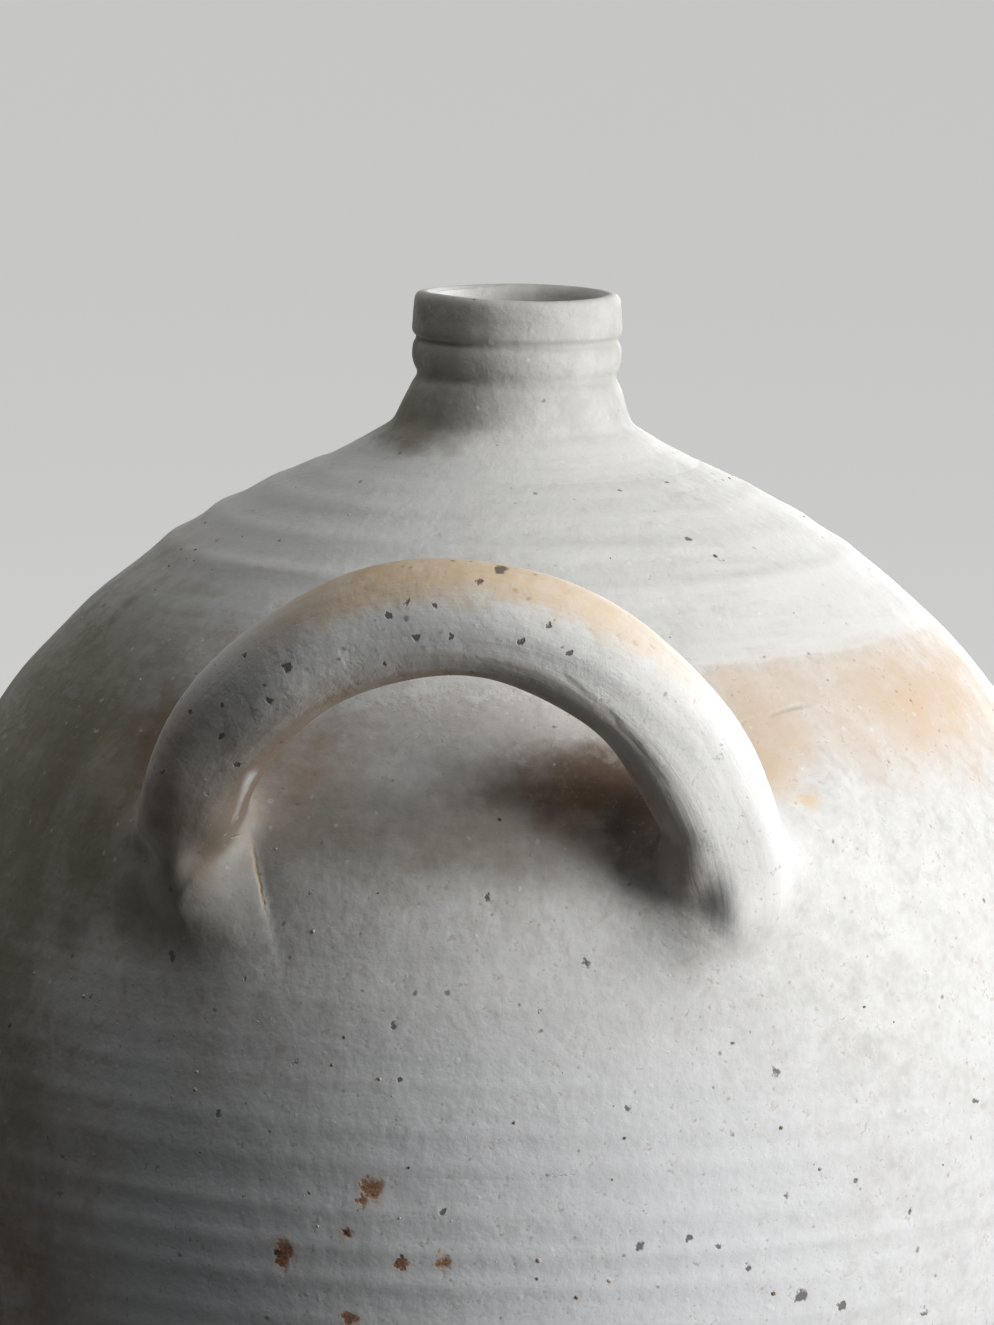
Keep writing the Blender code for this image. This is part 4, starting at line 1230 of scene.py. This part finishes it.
def foot_clay():
    """Bare clay of the foot: the slip and glaze were wiped off, and it fired brown."""
    glaze = Glaze("bare_foot_clay")
    patches = glaze.between(glaze.noise(30.0, glaze.moved(0.03), detail=5.0), 0.4, 0.6)
    turning = glaze.level_noise(10.0, 30.0)
    grain = glaze.noise(600.0, detail=4.0, rough=0.75)
    grog = glaze.specks(260.0, 0.35, 0.3, 0)
    colour = glaze.mixed(patches * 0.7, BARE_CLAY, FIRED_CLAY)
    colour = glaze.mixed(grog * 0.5, colour, WHITE)
    colour = glaze.mixed(glaze.specks(120.0, 0.3, 0.1, 1), colour, IRON_AND_SHADOW_BLACK)
    relief = grain * 0.12 + grog * 0.12 + turning * 0.3
    return glaze.finished(colour, 0.78 + grain * 0.15, relief)


# Studio


FLOOR_REACH = 14.0
PALE = rgb(1.0, 1.0, 0.985)
PALE_LEVEL = 0.55
PAPER_LIT = rgb(0.36, 0.36, 0.354)
PAPER_DIM = rgb(0.1, 0.1, 0.098)
SKY = rgb(0.92, 0.96, 1.0)
SKY_LEVEL = 0.005

# Lamps, all turned to the jar: name, place, width in metres, power in watts and colour
LIT_PLACE = (0.0, 0.0, 0.3)
LAMPS = (
    ("window_lamp", (2.17, -0.77, 0.87), 1.35, 71.0, (1.0, 1.0, 0.99)),
    ("ceiling_lamp", (-0.35, -0.25, 2.45), 1.6, 15.0, (0.98, 0.99, 1.0)),
    ("fill_lamp", (0.5, -2.6, 0.7), 2.0, 0.7, (0.95, 0.98, 1.0)),
)
BACK_LIGHT_FROM = (0.2, 1.0, 0.08)
BACK_LIGHT_STRENGTH = 1.2
BACK_LIGHT_ANGLE = math.radians(30.0)

# The photograph's view, which turns round the jar and looks a little past its axis and down on its neck. Its
# lens and its distance past the axis are also given in the photograph's pixels
ASIDE_PIXELS = 10.0
LENS_PIXELS = 6593.75
CAMERA_AWAY = 2.0
CAMERA_HEIGHT = 0.646
CAMERA_ROUND = math.radians(4.7)
CAMERA_ASIDE = ASIDE_PIXELS / LENS_PIXELS
CAMERA_DOWN = math.radians(8.26)
CAMERA_ROLL = math.radians(1.0)
FILM_HEIGHT = 36.0
LENS = 179.15
CLIP = (0.05, 60.0)


def seen_as_picture(bench):
    """1 for rays that show a surface in the picture, in gloss or through glass, and 0 for rays that light."""
    path = bench.node("ShaderNodeLightPath")
    seen = path
    for name in ("Is Glossy Ray", "Is Transmission Ray"):
        seen = seen.maths("MAXIMUM", bench.out(path, name))
    return seen


def paper_material():
    """Pale paper, at its full brightness only in the picture, so that it throws little light on the jar."""
    material = bpy.data.materials.new("pale_paper")
    bench = Bench(shading_tree(material))
    dim = bench.node("ShaderNodeBsdfDiffuse", None, {"Color": PAPER_DIM})
    lit = bench.node("ShaderNodeBsdfDiffuse", None, {"Color": PAPER_LIT})
    glow = bench.node("ShaderNodeEmission", None, {"Color": PALE, "Strength": PALE_LEVEL})
    bright = bench.node("ShaderNodeAddShader", None, {0: lit, 1: glow})
    paper = bench.node("ShaderNodeMixShader", None, {0: seen_as_picture(bench), 1: dim, 2: bright})
    bench.node("ShaderNodeOutputMaterial", None, {"Surface": paper})
    return material


def make_studio_world():
    """Pale background of the floor's own colour, so that no horizon shows. It gives the jar little light."""
    world = bpy.data.worlds.new("studio")
    bench = Bench(shading_tree(world))
    dim = bench.node("ShaderNodeBackground", None, {"Color": SKY, "Strength": SKY_LEVEL})
    pale = bench.node("ShaderNodeBackground", None, {"Color": PALE, "Strength": PALE_LEVEL})
    both = bench.node("ShaderNodeMixShader", None, {0: seen_as_picture(bench), 1: dim, 2: pale})
    bench.node("ShaderNodeOutputWorld", None, {"Surface": both})
    bpy.context.scene.world = world


def make_studio_floor():
    """Flat pale floor that reaches far past the jar on every side, so that each view has it behind."""
    mesh = bpy.data.meshes.new("studio_floor")
    corners = [(x * FLOOR_REACH, y * FLOOR_REACH, 0.0) for x, y in ((-1, -1), (1, -1), (1, 1), (-1, 1))]
    mesh.from_pydata(corners, [], [(0, 1, 2, 3)])
    mesh.materials.append(paper_material())
    floor = placed("studio_floor", mesh)


def turned_back_along(direction):
    """Turn of a lamp that shines against a direction."""
    return Vector(direction).to_track_quat("Z", "Y").to_euler()


def make_light():
    """A broad window from the right, a soft ceiling, a weak fill, and a low light for the jar's back."""
    sun = bpy.data.lights.new("back_light", "SUN")
    sun.energy, sun.angle = BACK_LIGHT_STRENGTH, BACK_LIGHT_ANGLE
    placed("back_light", sun).rotation_euler = turned_back_along(BACK_LIGHT_FROM)
    for name, place, width, power, colour in LAMPS:
        lamp = bpy.data.lights.new(name, "AREA")
        lamp.shape, lamp.size, lamp.energy, lamp.color = "DISK", width, power, colour
        item = placed(name, lamp)
        item.location = place
        item.rotation_euler = turned_back_along(Vector(place) - Vector(LIT_PLACE))


def make_camera():
    """The photograph's view: from a little right of the front handle's middle and above the neck."""
    camera = bpy.data.cameras.new("camera")
    camera.sensor_fit, camera.sensor_height, camera.lens = "VERTICAL", FILM_HEIGHT, LENS
    camera.clip_start, camera.clip_end = CLIP
    item = placed("camera", camera)
    across, ahead = CAMERA_AWAY * math.sin(CAMERA_ROUND), -CAMERA_AWAY * math.cos(CAMERA_ROUND)
    place = Matrix.Translation((across, ahead, CAMERA_HEIGHT))
    round_jar = Matrix.Rotation(CAMERA_ROUND + CAMERA_ASIDE, 4, "Z")
    aim = round_jar @ Matrix.Rotation(TAU / 4 - CAMERA_DOWN, 4, "X")
    item.matrix_world = place @ aim @ Matrix.Rotation(CAMERA_ROLL, 4, "Z")
    bpy.context.scene.camera = item


def make_demijohn():
    """Every piece of the jar. Each replaces the nodes that it stands for, and the crumbs come on top."""
    jar_tree = turning_tree("turn_the_wall", wall_glaze())
    foot_tree = turning_tree("turn_the_foot", foot_clay())
    neck, shoulder, body, foot = make_thrown_pieces(jar_tree, foot_tree)
    pulled = handle_glaze()
    front = make_handle("front_pulled_handle", pulled, 0.0, (1.0, 1.0, 1.0))
    rear = make_handle("rear_pulled_handle", pulled, math.pi, (-1.0, 1.0, 1.0))
    press_under(shoulder, (0.0, math.pi))
    crumbs = made_by(crumb_tree(crumb_clay()), "kiln_crumbs", crumb_seats(), CRUMB_SHAPE)
    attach(crumbs, "root")
    stands_for = {
        neck: ("neck",),
        shoulder: ("shoulder",),
        body: ("lower_body",),
        foot: ("floor_disc",),
        front: ("front_handle", "front_left_root", "front_right_root"),
        rear: ("rear_handle", "rear_left_root", "rear_right_root"),
    }
    for piece, nodes in stands_for.items():
        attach(piece, "root")
        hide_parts(*nodes)


def make_studio():
    make_studio_floor()
    make_studio_world()
    make_light()
    make_camera()
    bpy.context.scene.view_settings.view_transform = "Standard"


def make_scene():
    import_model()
    make_demijohn()
    make_studio()


make_scene()
